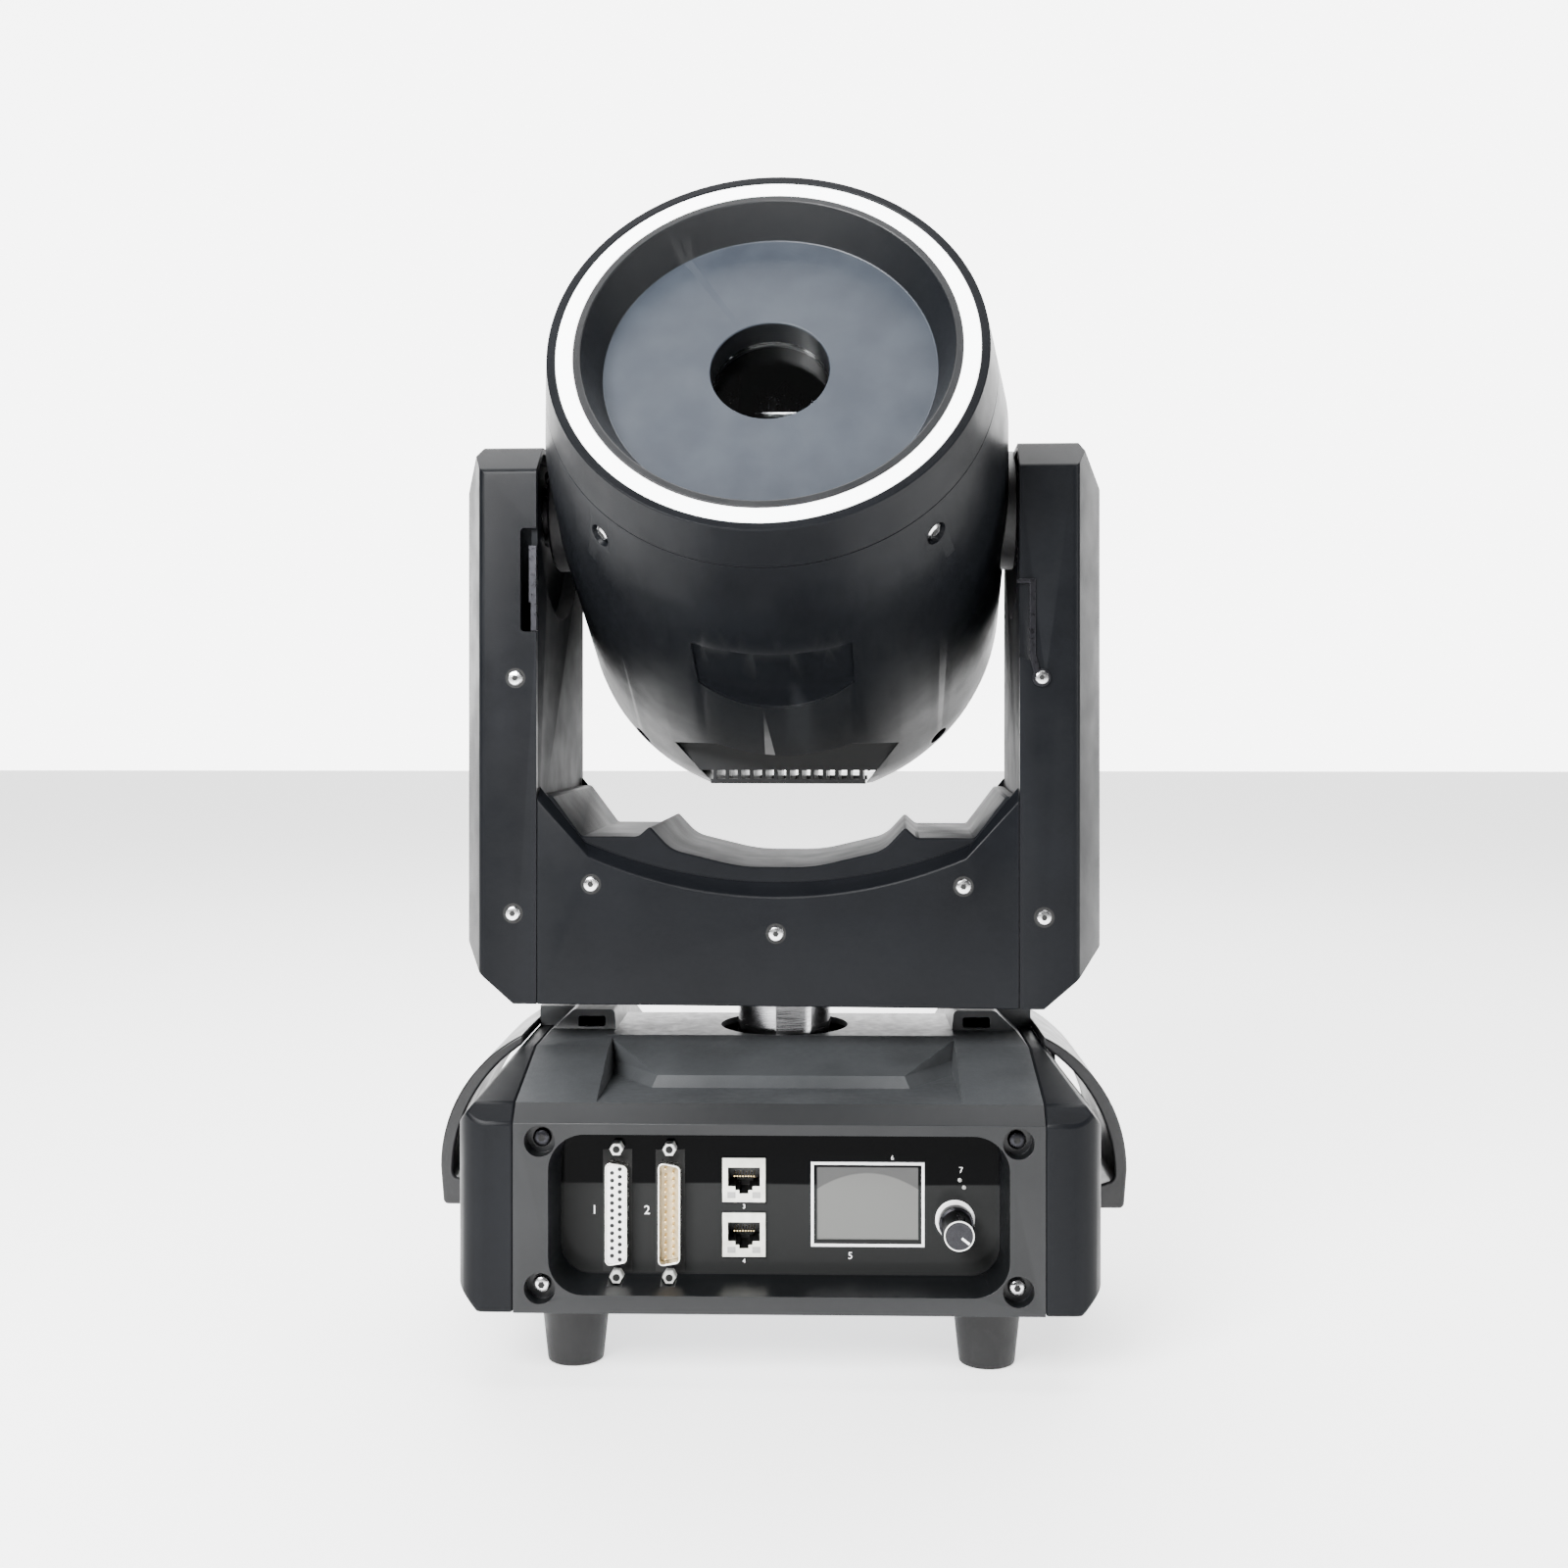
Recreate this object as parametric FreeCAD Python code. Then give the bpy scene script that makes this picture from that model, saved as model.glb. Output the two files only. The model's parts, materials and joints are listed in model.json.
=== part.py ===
import FreeCAD, Part
import math
import os

# Moving-head laser show projector in millimetres.
# Origin: on the floor under the pan axis. +Z is up, the control panel faces -Y.

# General wall and clearance sizes
wall = 2.5
seam = 0.15
touch = 0.1
running_clearance = 0.05
belt_clearance = 0.3

# Base outline
foot_height = 28.2
foot_top_radius = 13.5
foot_tip_radius = 10.5
foot_sides = 24
foot_x = 77.5
foot_y = 60.0
base_half_depth = 95.0
frame_half_width = 95.6
side_half_width = frame_half_width + 21.1
side_corner_radius = 12.0
side_bottom_chamfer = 8.0
front_edge_z = 96.3
deck_z = 102.6
edge_setback = 6.0
pan_sheet = 2.0
pan_half_depth = 88.0
bracket_spacing_x = 106.0
bracket_spacing_y = 100.0
bracket_hole_radius = 5.1

# Front and rear frame with their pocket
frame_depth = 26.0
pocket_half_width = 82.7
pocket_low_z = 34.7
pocket_high_z = 92.4
pocket_radius = 13.0
pocket_draft = 1.7
pocket_depth = 20.0
panel_sheet = 2.0
panel_lap = 1.6
corner_screw_x = 85.8
corner_screw_low_z = 37.0
corner_screw_high_z = 89.9
counterbore_radius = 5.6
counterbore_depth = 7.0

# Top cover
side_rise_y = 42.0
side_rise_z = 114.0
plateau_front_y = 63.5
plateau_step = 3.5
plateau_step_z = 106.6
plateau_top_z = 115.5
plateau_flat_y = 26.0
plateau_front_half_width = 48.5
plateau_half_width = 78.0
plateau_side_y = 20.0
neck_hole_radius = 26.0
hood_inner_x = frame_half_width - 28.6
hood_outer_x = frame_half_width - 10.6
hood_front_y = 15.0
hood_back_y = 52.0
hood_top_z = 123.5
hood_ledge_z = 116.0
hump_outer_x = frame_half_width + 5.6
hump_front_y = 2.0
hump_top_z = 122.2

# Side handles
handle_half_width = 38.0
handle_strap = 5.0
handle_low_z = 51.0
handle_foot_z = 58.0
handle_reach = 17.3
handle_straight_z = 66.0
handle_bend_x = side_half_width + 7.9
handle_bend_z = 97.5
grip_pocket_x = frame_half_width + 5.4
grip_pocket_half_width = 42.0
grip_pocket_low_z = 60.0
grip_pocket_high_z = 106.0
side_slope_x = frame_half_width + 5.9
side_slope_z = 95.0

# Control panel items, as X and Z of their centres
dsub_out_x = -60.0
dsub_in_x = -40.5
dsub_z = 59.7
dsub_half_length = 19.2
dsub_half_width = 4.1
dsub_slant = 1.4
dsub_corner = 2.0
dsub_skin = 0.6
dsub_reach = 5.8
dsub_flange_length = 53.0
dsub_flange_width = 12.4
jack_screw_pitch = 47.04
jack_screw_radius = 2.4
network_x = -13.2
network_upper_z = 71.4
network_lower_z = 51.2
network_width = 15.9
network_height = 16.3
network_depth = 16.0
display_x = 31.8
display_z = 62.1
window_width = 38.9
window_height = 28.9
knob_x = 64.6
knob_z = 57.0
knob_skirt_radius = 6.35
knob_front_radius = 5.4
knob_skirt_length = 4.5
knob_length = 18.0
knob_gap = 2.5
knob_travel = 0.5
encoder_shaft_radius = 3.0
encoder_bush_radius = 3.6

# Rear panel items
inlet_x = 52.0
inlet_width = 27.4
inlet_height = 19.8
socket_z = 62.0
socket_in_x = -8.0
socket_out_x = -50.0
socket_radius = 11.8
socket_flange = 26.0
contact_circle = 5.0
contact_radius = 1.2

# Electronics in the base
supply_inner_x = 64.0
supply_width = 28.0
supply_height = 38.0
supply_front = 54.0
supply_back = 44.0
board_inner_x = 64.0
board_width = 28.0
board_half_length = 50.0
board_sheet = 1.6
board_post = 8.0
board_post_radius = 2.5

# Pan axis and drive
spindle_radius = 18.8
spindle_bore = 13.0
spindle_low_z = 93.0
spindle_flange_radius = 30.0
spindle_flange = 4.0
spindle_high_z = 152.0
carrier_half_width = 48.0
carrier_half_depth = 35.0
carrier_sheet = 3.0
carrier_foot = 12.0
bearing_ring = 8.2
ring_pulley_radius = 34.0
motor_pulley_radius = 8.0
tilt_drive_radius = 7.0
pulley_width = 5.5
belt_thickness = 1.5
motor_size = 42.0
motor_length = 34.0
motor_shaft_radius = 2.5
tilt_motor_z = 166.5

# Head, in its own frame: t runs forward from the tilt axis, r is the radius
tilt_z = 326.0
rest_elevation = 27.5
barrel_radius = 91.0
barrel_mid_radius = barrel_radius - 2.6
collar_radius = barrel_radius - 8.0
rim_radius = collar_radius - 3.5
rim_t = 108.0
collar_t = 89.5
barrel_mid_t = 60.0
barrel_full_t = 15.0
rear_t = -121.0
rear_corner = 48.0
round_steps = 12
hollow_steps = 8
halo_outer = rim_radius - 3.2
halo_inner = halo_outer - 6.1
halo_depth = 6.6
plate_t = 93.0
cup_rim_radius = halo_inner - 2.8
plate_radius = cup_rim_radius - 6.1
aperture_radius = 21.9
aperture_tube_t = 78.0
window_glass = 2.0
trunnion_radius = 9.95
trunnion_flange_radius = 20.0
trunnion_hole = 11.0
trunnion_inner_x = barrel_radius - 17.0
trunnion_flange = 4.0
trunnion_boss = 16.0
tilt_pulley_radius = 14.0
tilt_bearing_outer = 15.0
tilt_bearing_width = 7.0
shell_screw_front_t = 76.0
shell_screw_rear_t = -77.0
shell_screw_hole = 4.4
shell_screw_seat = barrel_radius - 11.0
shell_boss_depth = 6.0
badge_half_width = 30.0
badge_front_t = 40.0
badge_rear_t = 3.0
badge_depth = 1.0
vent_top_z = tilt_z - barrel_radius - 4.0
vent_cut_z = vent_top_z - 18.0
vent_duct_z = vent_cut_z + 6.0
vent_top_half = 47.0
vent_low_half = 33.0
vent_front_y = 22.0
vent_back_y = 66.0
fin_count = 13
fin_thickness = 1.6
vent_sill = 2.0
fan_size = 50.0
fan_depth = 10.0
fan_y = 44.0
galvo_t = 56.0
galvo_radius = 7.0
galvo_rise = 14.0
mirror_thickness = 1.4
mirror_half = 8.0
fold_x = -22.0
laser_top = 20.0
laser_bottom = 16.0
laser_half_width = 32.0
laser_back = 40.0
laser_front = 34.0
rib_height = 7.0
rib_count = 9
rib_thickness = 2.0
tray_half_height = 22.0
tray_sheet = 3.0
tray_back = 42.0
tray_front = 66.0

# Yoke
yoke_bottom_z = 131.0
yoke_half_depth = 50.6
yoke_plate = 3.0
arm_inner_x = barrel_radius + 1.8
arm_front_x = arm_inner_x + 22.2
arm_outer_x = arm_inner_x + 33.2
arm_slant_y = 24.0
arm_top_z = 348.0
arm_front_top_z = 337.5
arm_ridge_y = 38.0
arm_shoulder_x = arm_outer_x - 10.0
arm_shoulder_z = 331.0
arm_chin_x = arm_outer_x - 24.0
arm_chin_z = 152.0
arm_panel_low_z = 190.0
recess_radius = 44.0
recess_x = arm_inner_x + 6.2
arm_frame_x = recess_x + 5.0
arm_frame_sheet = 3.0
arm_frame_half_depth = 32.0
arm_frame_toe_x = arm_inner_x - 12.8
pan_motor_x = arm_frame_toe_x - 22.0
tilt_pulley_x = arm_frame_x + 6.0
arm_frame_top_z = 343.0
cover_lip_y = 45.5
cover_corner_z = 210.0
cover_shoulder_x = arm_inner_x - 20.4
cover_shoulder_z = 188.0
cover_middle_z = 172.8
lip_rise = 5.6
saddle_low_z = 168.0
notch_low_z = 275.0
notch_high_z = 315.0
notch_depth = 6.2
slot_low_z = 265.0
slot_high_z = 293.0
slot_depth = 1.6
sight_low_z = 307.0
sight_high_z = 337.0
lock_width = 2.3
lock_length = 33.0
lock_step = 11.0
lock_clearance = 0.3
lever_pivot_x = arm_inner_x + 8.2
lever_pivot_z = 257.0
lever_pin_radius = 1.6
lever_eye_radius = 3.4
lever_width = 2.2
lever_sheet = 1.0
lever_top_z = 294.4
lever_tab_x = arm_inner_x - 1.2
rest_pan = -2.4

# Geometry helpers

def vec(x, y, z):
    return FreeCAD.Vector(x, y, z)


def spot(plane, a, b, at):
    """A point given by two flat coordinates in a main plane that lies at a height."""
    if plane == "xy":
        return vec(a, b, at)
    if plane == "xz":
        return vec(a, at, b)
    return vec(at, a, b)


def normal(plane):
    return {"xy": vec(0, 0, 1), "xz": vec(0, 1, 0), "yz": vec(1, 0, 0)}[plane]


def corner(before, here, after):
    """Start, middle and end of the rounding at a corner (a, b, radius)."""
    radius = here[2] if len(here) == 3 else 0.0
    if radius <= 0.0:
        return here[:2], None, here[:2]
    ahead = unit(here, after)
    behind = unit(here, before)
    half = math.acos(max(-1.0, min(1.0, ahead[0] * behind[0] + ahead[1] * behind[1]))) / 2
    run = radius / math.tan(half)
    inward = unit((0, 0), (ahead[0] + behind[0], ahead[1] + behind[1]))
    depth = radius / math.sin(half) - radius
    start = (here[0] + behind[0] * run, here[1] + behind[1] * run)
    middle = (here[0] + inward[0] * depth, here[1] + inward[1] * depth)
    end = (here[0] + ahead[0] * run, here[1] + ahead[1] * run)
    return start, middle, end


def unit(start, end):
    length = math.hypot(end[0] - start[0], end[1] - start[1])
    return (end[0] - start[0]) / length, (end[1] - start[1]) / length


def outline(points, plane, at=0.0):
    """Closed wire through corners (a, b) or (a, b, radius); (am, bm, a, b) is an arc through am, bm."""
    edges = []
    count = len(points)
    ends = [p[-2:] if len(p) == 4 else None for p in points]
    turns = []
    for index, point in enumerate(points):
        before = points[index - 1][-2:] if len(points[index - 1]) == 4 else points[index - 1][:2]
        after = points[(index + 1) % count][:2]
        turns.append((ends[index],) * 2 if ends[index] else corner(before, point, after))
    for index, point in enumerate(points):
        last = turns[index - 1][-1]
        here = turns[index]
        if len(point) == 4:
            curve = Part.Arc(spot(plane, *last, at), spot(plane, *point[:2], at), spot(plane, *here[0], at))
            edges.append(curve.toShape())
            continue
        if math.dist(last, here[0]) > 1e-7:
            edges.append(Part.makeLine(spot(plane, *last, at), spot(plane, *here[0], at)))
        if here[1]:
            curve = Part.Arc(*[spot(plane, *flat, at) for flat in here])
            edges.append(curve.toShape())
    return Part.Wire(edges)


def prism(points, plane, low, high):
    return Part.Face(outline(points, plane, low)).extrude(normal(plane) * (high - low))


def frustum(first, second, plane, low, high):
    """Straight-sided solid between two outlines with the same corners."""
    return Part.makeLoft([outline(first, plane, low), outline(second, plane, high)], True, True)


def rect(a0, b0, a1, b1, radius=0.0):
    return [(a0, b0, radius), (a1, b0, radius), (a1, b1, radius), (a0, b1, radius)]


def centred_rect(a, b, width, height, radius=0.0):
    return rect(a - width / 2, b - height / 2, a + width / 2, b + height / 2, radius)


def shrink(points, amount):
    """Move every side of a straight-sided outline inward by the same amount."""
    count = len(points)
    area = sum(points[i - 1][0] * points[i][1] - points[i][0] * points[i - 1][1] for i in range(count))
    turn = 1.0 if area > 0 else -1.0
    sides = []
    for index in range(count):
        start = points[index - 1]
        ahead = unit(start[:2], points[index][:2])
        inward = (-ahead[1] * turn * amount, ahead[0] * turn * amount)
        sides.append((start[0] + inward[0], start[1] + inward[1], ahead[0], ahead[1]))
    result = []
    for index in range(count):
        a = sides[index]
        b = sides[(index + 1) % count]
        cross = a[2] * b[3] - a[3] * b[2]
        along = ((b[0] - a[0]) * b[3] - (b[1] - a[1]) * b[2]) / cross
        radius = points[index][2] - amount if len(points[index]) == 3 else 0.0
        result.append((a[0] + a[2] * along, a[1] + a[3] * along, max(radius, 0.0)))
    return result


def rod(axis, a, b, low, high, radius):
    """Cylinder along a main axis through the flat point (a, b)."""
    plane = {"x": "yz", "y": "xz", "z": "xy"}[axis]
    return Part.makeCylinder(radius, high - low, spot(plane, a, b, low), normal(plane))


def tube(axis, a, b, low, high, outer, inner):
    return rod(axis, a, b, low, high, outer).cut(rod(axis, a, b, low, high, inner))


def join(*shapes):
    result = shapes[0]
    for shape in shapes[1:]:
        result = result.fuse(shape)
    return result.removeSplitter()


def overlap(*shapes):
    result = shapes[0]
    for shape in shapes[1:]:
        result = result.common(shape)
    return result


def less(shape, *tools):
    for tool in tools:
        shape = shape.cut(tool)
    return shape


def mirrored(shape, x=0, y=0):
    return shape.mirror(vec(0, 0, 0), vec(x, y, 0))


def both_sides(shape):
    return Part.makeCompound([shape, mirrored(shape, x=1)])


def group(shapes):
    return Part.makeCompound(shapes)


def turned(profile):
    """Solid of revolution about the head's own axis from (radius, t) corners."""
    return Part.Face(outline(profile, "xz")).revolve(vec(0, 0, 0), vec(0, 0, 1), 360)


def in_head(shape):
    """Carry a shape from the head's own frame (x, up, forward) to its rest place."""
    angle = math.radians(rest_elevation)
    forward = vec(0, -math.cos(angle), math.sin(angle))
    rest = FreeCAD.Placement(vec(0, 0, tilt_z), FreeCAD.Rotation(vec(0, 0, 1), forward))
    return moved(shape, rest)


def moved(shape, placement):
    result = shape.copy()
    result.Placement = placement.multiply(shape.Placement)
    return result


# Base

def feet():
    turns = [2 * math.pi * (index + 0.5) / foot_sides for index in range(foot_sides)]
    tip = [(foot_tip_radius * math.cos(a), foot_tip_radius * math.sin(a)) for a in turns]
    top = [(foot_top_radius * math.cos(a), foot_top_radius * math.sin(a)) for a in turns]
    foot = frustum(tip, top, "xy", 0, foot_height)
    return group([foot.translated(vec(x, y, 0)) for x in (-foot_x, foot_x) for y in (-foot_y, foot_y)])


def base_pan():
    """Bottom sheet with the four clamp bracket holes."""
    top = foot_height + pan_sheet
    sheet = prism(rect(-frame_half_width + seam, -pan_half_depth, frame_half_width - seam, pan_half_depth),
                  "xy", foot_height, top)
    holes = [rod("z", x * bracket_spacing_x / 2, y * bracket_spacing_y / 2, foot_height - 1, top + 1,
                 bracket_hole_radius) for x in (-1, 1) for y in (-1, 1)]
    return less(sheet, *holes)


def spindle_carrier():
    """Bent bridge that stands on the base sheet and carries the pan spindle."""
    low = foot_height + pan_sheet
    inner = carrier_half_width - carrier_sheet
    toe = carrier_half_width + carrier_foot
    bridge = [
        (-toe, low), (-inner, low), (-inner, spindle_low_z - carrier_sheet, 3),
        (inner, spindle_low_z - carrier_sheet, 3), (inner, low), (toe, low),
        (toe, low + carrier_sheet), (carrier_half_width, low + carrier_sheet),
        (carrier_half_width, spindle_low_z, 5), (-carrier_half_width, spindle_low_z, 5),
        (-carrier_half_width, low + carrier_sheet), (-toe, low + carrier_sheet),
    ]
    body = prism(bridge, "xz", -carrier_half_depth, carrier_half_depth)
    return body.cut(rod("z", 0, 0, spindle_low_z - 10, spindle_low_z + 1, spindle_bore + 1))


def spindle():
    profile = [
        (spindle_bore, spindle_low_z), (spindle_bore, spindle_high_z), (spindle_radius, spindle_high_z),
        (spindle_radius, spindle_low_z + spindle_flange), (spindle_flange_radius, spindle_low_z + spindle_flange),
        (spindle_flange_radius, spindle_low_z),
    ]
    return turned(profile)


def plateau_form(inset):
    front = plateau_front_y
    step = plateau_step
    low = deck_z - 4 * wall
    side = [
        (-front, low), (-front, deck_z), (-front + step, plateau_step_z), (-plateau_flat_y, plateau_top_z),
        (plateau_flat_y, plateau_top_z), (front - step, plateau_step_z), (front, deck_z), (front, low),
    ]
    plan = [
        (-plateau_front_half_width, -front), (plateau_front_half_width, -front),
        (plateau_half_width, -plateau_side_y), (plateau_half_width, plateau_side_y),
        (plateau_front_half_width, front), (-plateau_front_half_width, front),
        (-plateau_half_width, plateau_side_y), (-plateau_half_width, -plateau_side_y),
    ]
    skirt = prism(shrink(plan, inset), "xy", low, deck_z)
    rise = frustum(shrink(plan, inset), shrink(plan, inset + step), "xy", deck_z, plateau_step_z)
    roof = prism(shrink(plan, inset + step), "xy", plateau_step_z, plateau_top_z + 1)
    return overlap(join(skirt, rise, roof), prism(shrink(side, inset), "yz", -plateau_half_width, plateau_half_width))


def hood_form(inset):
    """Right shoulder: the rising side strip with the vent hood and the hump behind it."""
    outer = frame_half_width - seam
    low = deck_z - 4 * wall
    back = base_half_depth - edge_setback - seam
    front_view = [
        (hood_inner_x - 2, low), (hood_inner_x + 1.5, hood_top_z, 2), (hood_outer_x, hood_top_z, 3),
        (outer, side_rise_z), (outer, low),
    ]
    side_view = [
        (-back, low), (-back, deck_z), (-side_rise_y, side_rise_z), (-hood_front_y - 1, hood_ledge_z),
        (-hood_front_y + 1, hood_top_z), (hood_back_y, hood_top_z), (hood_back_y + 5, side_rise_z),
        (back, deck_z), (back, low),
    ]
    strip = overlap(prism(shrink(front_view, inset), "xz", -back, back),
                    prism(shrink(side_view, inset), "yz", 0, outer))
    return strip


def hump():
    return prism(rect(hood_outer_x - 1, side_rise_z + seam, hump_outer_x, hump_top_z, 0), "xz",
                 hump_front_y, hood_back_y)


def base_top_cover():
    outer_x = frame_half_width - seam
    back = base_half_depth - edge_setback - seam
    low = deck_z - wall
    floor = deck_z - 5 * wall
    deck = prism(rect(-outer_x, -back, outer_x, back), "xy", low, deck_z)
    hood = join(hood_form(0), hump())
    outside = join(deck, plateau_form(0), hood, mirrored(hood, x=1))
    hollow = [plateau_form(wall), hood_form(wall), mirrored(hood_form(wall), x=1)]
    below = prism(rect(-outer_x - 10, -back - 10, outer_x + 10, back + 10), "xy", floor, low)
    mouth = prism(rect(hood_inner_x + 5, hood_ledge_z + 0.8, hood_outer_x - 2, hood_top_z - wall, 1), "xz",
                  -hood_front_y - 3, -hood_front_y + 6)
    cover = less(outside, below, *hollow, mouth, mirrored(mouth, x=1))
    return cover.cut(rod("z", 0, 0, low - 1, plateau_top_z + 1, neck_hole_radius))


def base_frame():
    """Moulded front frame with its drafted pocket, panel seat and corner screw wells."""
    half = frame_half_width - seam
    face = -base_half_depth
    back = face + frame_depth
    pan_top = foot_height + pan_sheet
    seat = deck_z - wall
    side_view = [
        (face, foot_height), (face, front_edge_z), (face + edge_setback, deck_z), (face + edge_setback, seat),
        (back, seat), (back, pan_top), (-pan_half_depth, pan_top), (-pan_half_depth, foot_height),
    ]
    block = prism(side_view, "yz", -half, half)
    mouth = rect(-pocket_half_width, pocket_low_z, pocket_half_width, pocket_high_z, pocket_radius)
    throat = shrink(mouth, pocket_draft)
    panel_y = face + pocket_depth
    pocket = frustum(mouth, throat, "xz", face, panel_y)
    rebate = prism(shrink(mouth, -panel_lap + touch), "xz", panel_y, back + 1)
    wells = []
    for x in (-corner_screw_x, corner_screw_x):
        for z in (corner_screw_low_z, corner_screw_high_z):
            wells.append(rod("y", x, z, face - 1, face + counterbore_depth, counterbore_radius))
    return less(block, pocket, rebate, *wells)


def base_front_frame():
    face = -base_half_depth
    reliefs = [rod("y", x, jack_heights()[0], face + 8, face + frame_depth + 1, jack_screw_radius + 0.4)
               for x in (dsub_out_x, dsub_in_x)]
    return less(base_frame(), *reliefs)


def base_rear_frame():
    return mirrored(base_frame(), y=1)


def side_form(inset, inner_x):
    """Right side casing outline as the overlap of its plan, front and side views."""
    depth = base_half_depth
    plan = [(inner_x, -depth), (side_half_width, -depth, side_corner_radius),
            (side_half_width, depth, side_corner_radius), (inner_x, depth)]
    front_view = [
        (inner_x, foot_height), (side_half_width - side_bottom_chamfer, foot_height),
        (side_half_width, foot_height + side_bottom_chamfer), (side_half_width, side_slope_z),
        (side_slope_x, side_rise_z), (inner_x, side_rise_z),
    ]
    side_view = [
        (-depth, foot_height), (-depth, front_edge_z), (-depth + edge_setback, deck_z),
        (-side_rise_y, side_rise_z), (side_rise_y, side_rise_z), (depth - edge_setback, deck_z),
        (depth, front_edge_z), (depth, foot_height),
    ]
    return overlap(prism(shrink(plan, inset), "xy", foot_height + inset, side_rise_z - inset),
                   prism(shrink(front_view, inset), "xz", -depth, depth),
                   prism(shrink(side_view, inset), "yz", inner_x, side_half_width))


def base_side():
    """Hollow side casing with the finger pocket behind the handle."""
    outside = side_form(0, frame_half_width)
    hollow = side_form(wall, frame_half_width - 4 * wall)
    pocket = rect(-grip_pocket_half_width, grip_pocket_low_z, grip_pocket_half_width, grip_pocket_high_z, 8)
    liner = overlap(prism(shrink(pocket, -wall), "yz", grip_pocket_x - wall, side_half_width), outside)
    return less(join(outside.cut(hollow), liner), prism(pocket, "yz", grip_pocket_x, side_half_width + 1))


def base_side_right():
    return base_side()


def base_side_left():
    return mirrored(base_side(), x=1)


def side_handles():
    """Carrying straps that arch from the casing's shoulder down to its flank."""
    reach = side_half_width + handle_reach
    flank = side_half_width + touch
    inner_bend = (handle_bend_x - handle_strap * 0.84, handle_bend_z - handle_strap * 0.56)
    strap = [
        (side_slope_x, side_rise_z), (side_slope_x, side_rise_z + 3.6),
        (handle_bend_x, handle_bend_z, reach, handle_straight_z), (reach - 1.2, handle_low_z, 2),
        (flank, handle_low_z), (flank, handle_foot_z), (reach - handle_strap, handle_foot_z + 4, 3),
        (reach - handle_strap, handle_straight_z), (*inner_bend, side_slope_x + 3.2, side_rise_z - 2.4),
    ]
    right = prism(strap, "xz", -handle_half_width, handle_half_width)
    return both_sides(right)


# Control panel

def dsub_shape(x, grow):
    a = dsub_half_width + grow
    b = dsub_half_length + grow
    r = dsub_corner + grow
    return [(x - a, dsub_z - b, r), (x - a, dsub_z + b, r), (x + a, dsub_z + b - dsub_slant, r),
            (x + a, dsub_z - b + dsub_slant, r)]


def panel_faces():
    front = -base_half_depth + pocket_depth
    return front, front + panel_sheet


def panel_blank():
    front, back = panel_faces()
    mouth = rect(-pocket_half_width, pocket_low_z, pocket_half_width, pocket_high_z, pocket_radius)
    return prism(shrink(mouth, -panel_lap + 2 * touch), "xz", front, back)


def control_panel():
    front, back = panel_faces()
    span = ("xz", front - 1, back + 1)
    cuts = [prism(dsub_shape(x, dsub_skin / 2), *span) for x in (dsub_out_x, dsub_in_x)]
    for z in (network_lower_z, network_upper_z):
        cuts.append(prism(centred_rect(network_x, z, network_width + touch, network_height + touch), *span))
    cuts.append(prism(centred_rect(display_x, display_z, window_width, window_height, 1), *span))
    cuts.append(rod("y", knob_x, knob_z, front - 1, back + 1, encoder_bush_radius + touch))
    return less(panel_blank(), *cuts)


def display_module():
    front, back = panel_faces()
    case = prism(centred_rect(display_x, display_z, window_width + 8, window_height + 6, 1), "xz", back, back + 6)
    glass = prism(centred_rect(display_x, display_z, window_width - touch, window_height - touch, 1), "xz",
                  front + 0.4, back)
    return join(case, glass)


def dsub_shells():
    """Pressed metal shells of the two 25-way connectors, with their mounting flanges."""
    front, back = panel_faces()
    shells = []
    for x in (dsub_out_x, dsub_in_x):
        flange = prism(centred_rect(x, dsub_z, dsub_flange_width, dsub_flange_length, 2), "xz", back, back + 1)
        sleeve = prism(dsub_shape(x, 0), "xz", front - dsub_reach, back + 1)
        hollow = prism(dsub_shape(x, -dsub_skin), "xz", front - dsub_reach - 1, back + 2)
        shells.append(join(flange, sleeve).cut(hollow))
    return group(shells)


def jack_heights():
    return dsub_z - jack_screw_pitch / 2, dsub_z + jack_screw_pitch / 2


def dsub_inserts():
    """Insulating blocks: the socket one fills its shell, the pin one stays back inside its own."""
    front, back = panel_faces()
    fills = []
    for x, recess in ((dsub_out_x, 0.3), (dsub_in_x, 4.6)):
        fills.append(prism(dsub_shape(x, -dsub_skin - touch / 2), "xz", front - dsub_reach + recess, back + 8))
    return group(fills)


def network_jacks():
    front = panel_faces()[0] - 1.2
    jacks = []
    for z in (network_lower_z, network_upper_z):
        body = prism(centred_rect(network_x, z, network_width, network_height), "xz", front, front + network_depth)
        top = z + 4.6
        step = [
            (network_x - 5.9, top), (network_x - 5.9, top - 6.9), (network_x - 3.2, top - 6.9),
            (network_x - 3.2, top - 8.3), (network_x - 1.7, top - 8.3), (network_x - 1.7, top - 9.6),
            (network_x + 1.7, top - 9.6), (network_x + 1.7, top - 8.3), (network_x + 3.2, top - 8.3),
            (network_x + 3.2, top - 6.9), (network_x + 5.9, top - 6.9), (network_x + 5.9, top),
        ]
        jacks.append(body.cut(prism(step, "xz", front - 1, front + 12.5)))
    return group(jacks)


def menu_encoder():
    front, back = panel_faces()
    case = prism(centred_rect(knob_x, knob_z, 12.4, 13.2, 1), "xz", back, back + 7)
    bush = rod("y", knob_x, knob_z, front - 1.6, back + 1, encoder_bush_radius)
    bore = rod("y", knob_x, knob_z, front - 3, back + 6, encoder_shaft_radius + running_clearance)
    return less(join(case, bush), bore)


def menu_shaft():
    front, back = panel_faces()
    return rod("y", knob_x, knob_z, front - knob_gap - knob_length + 4, back + 5, encoder_shaft_radius)


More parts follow.
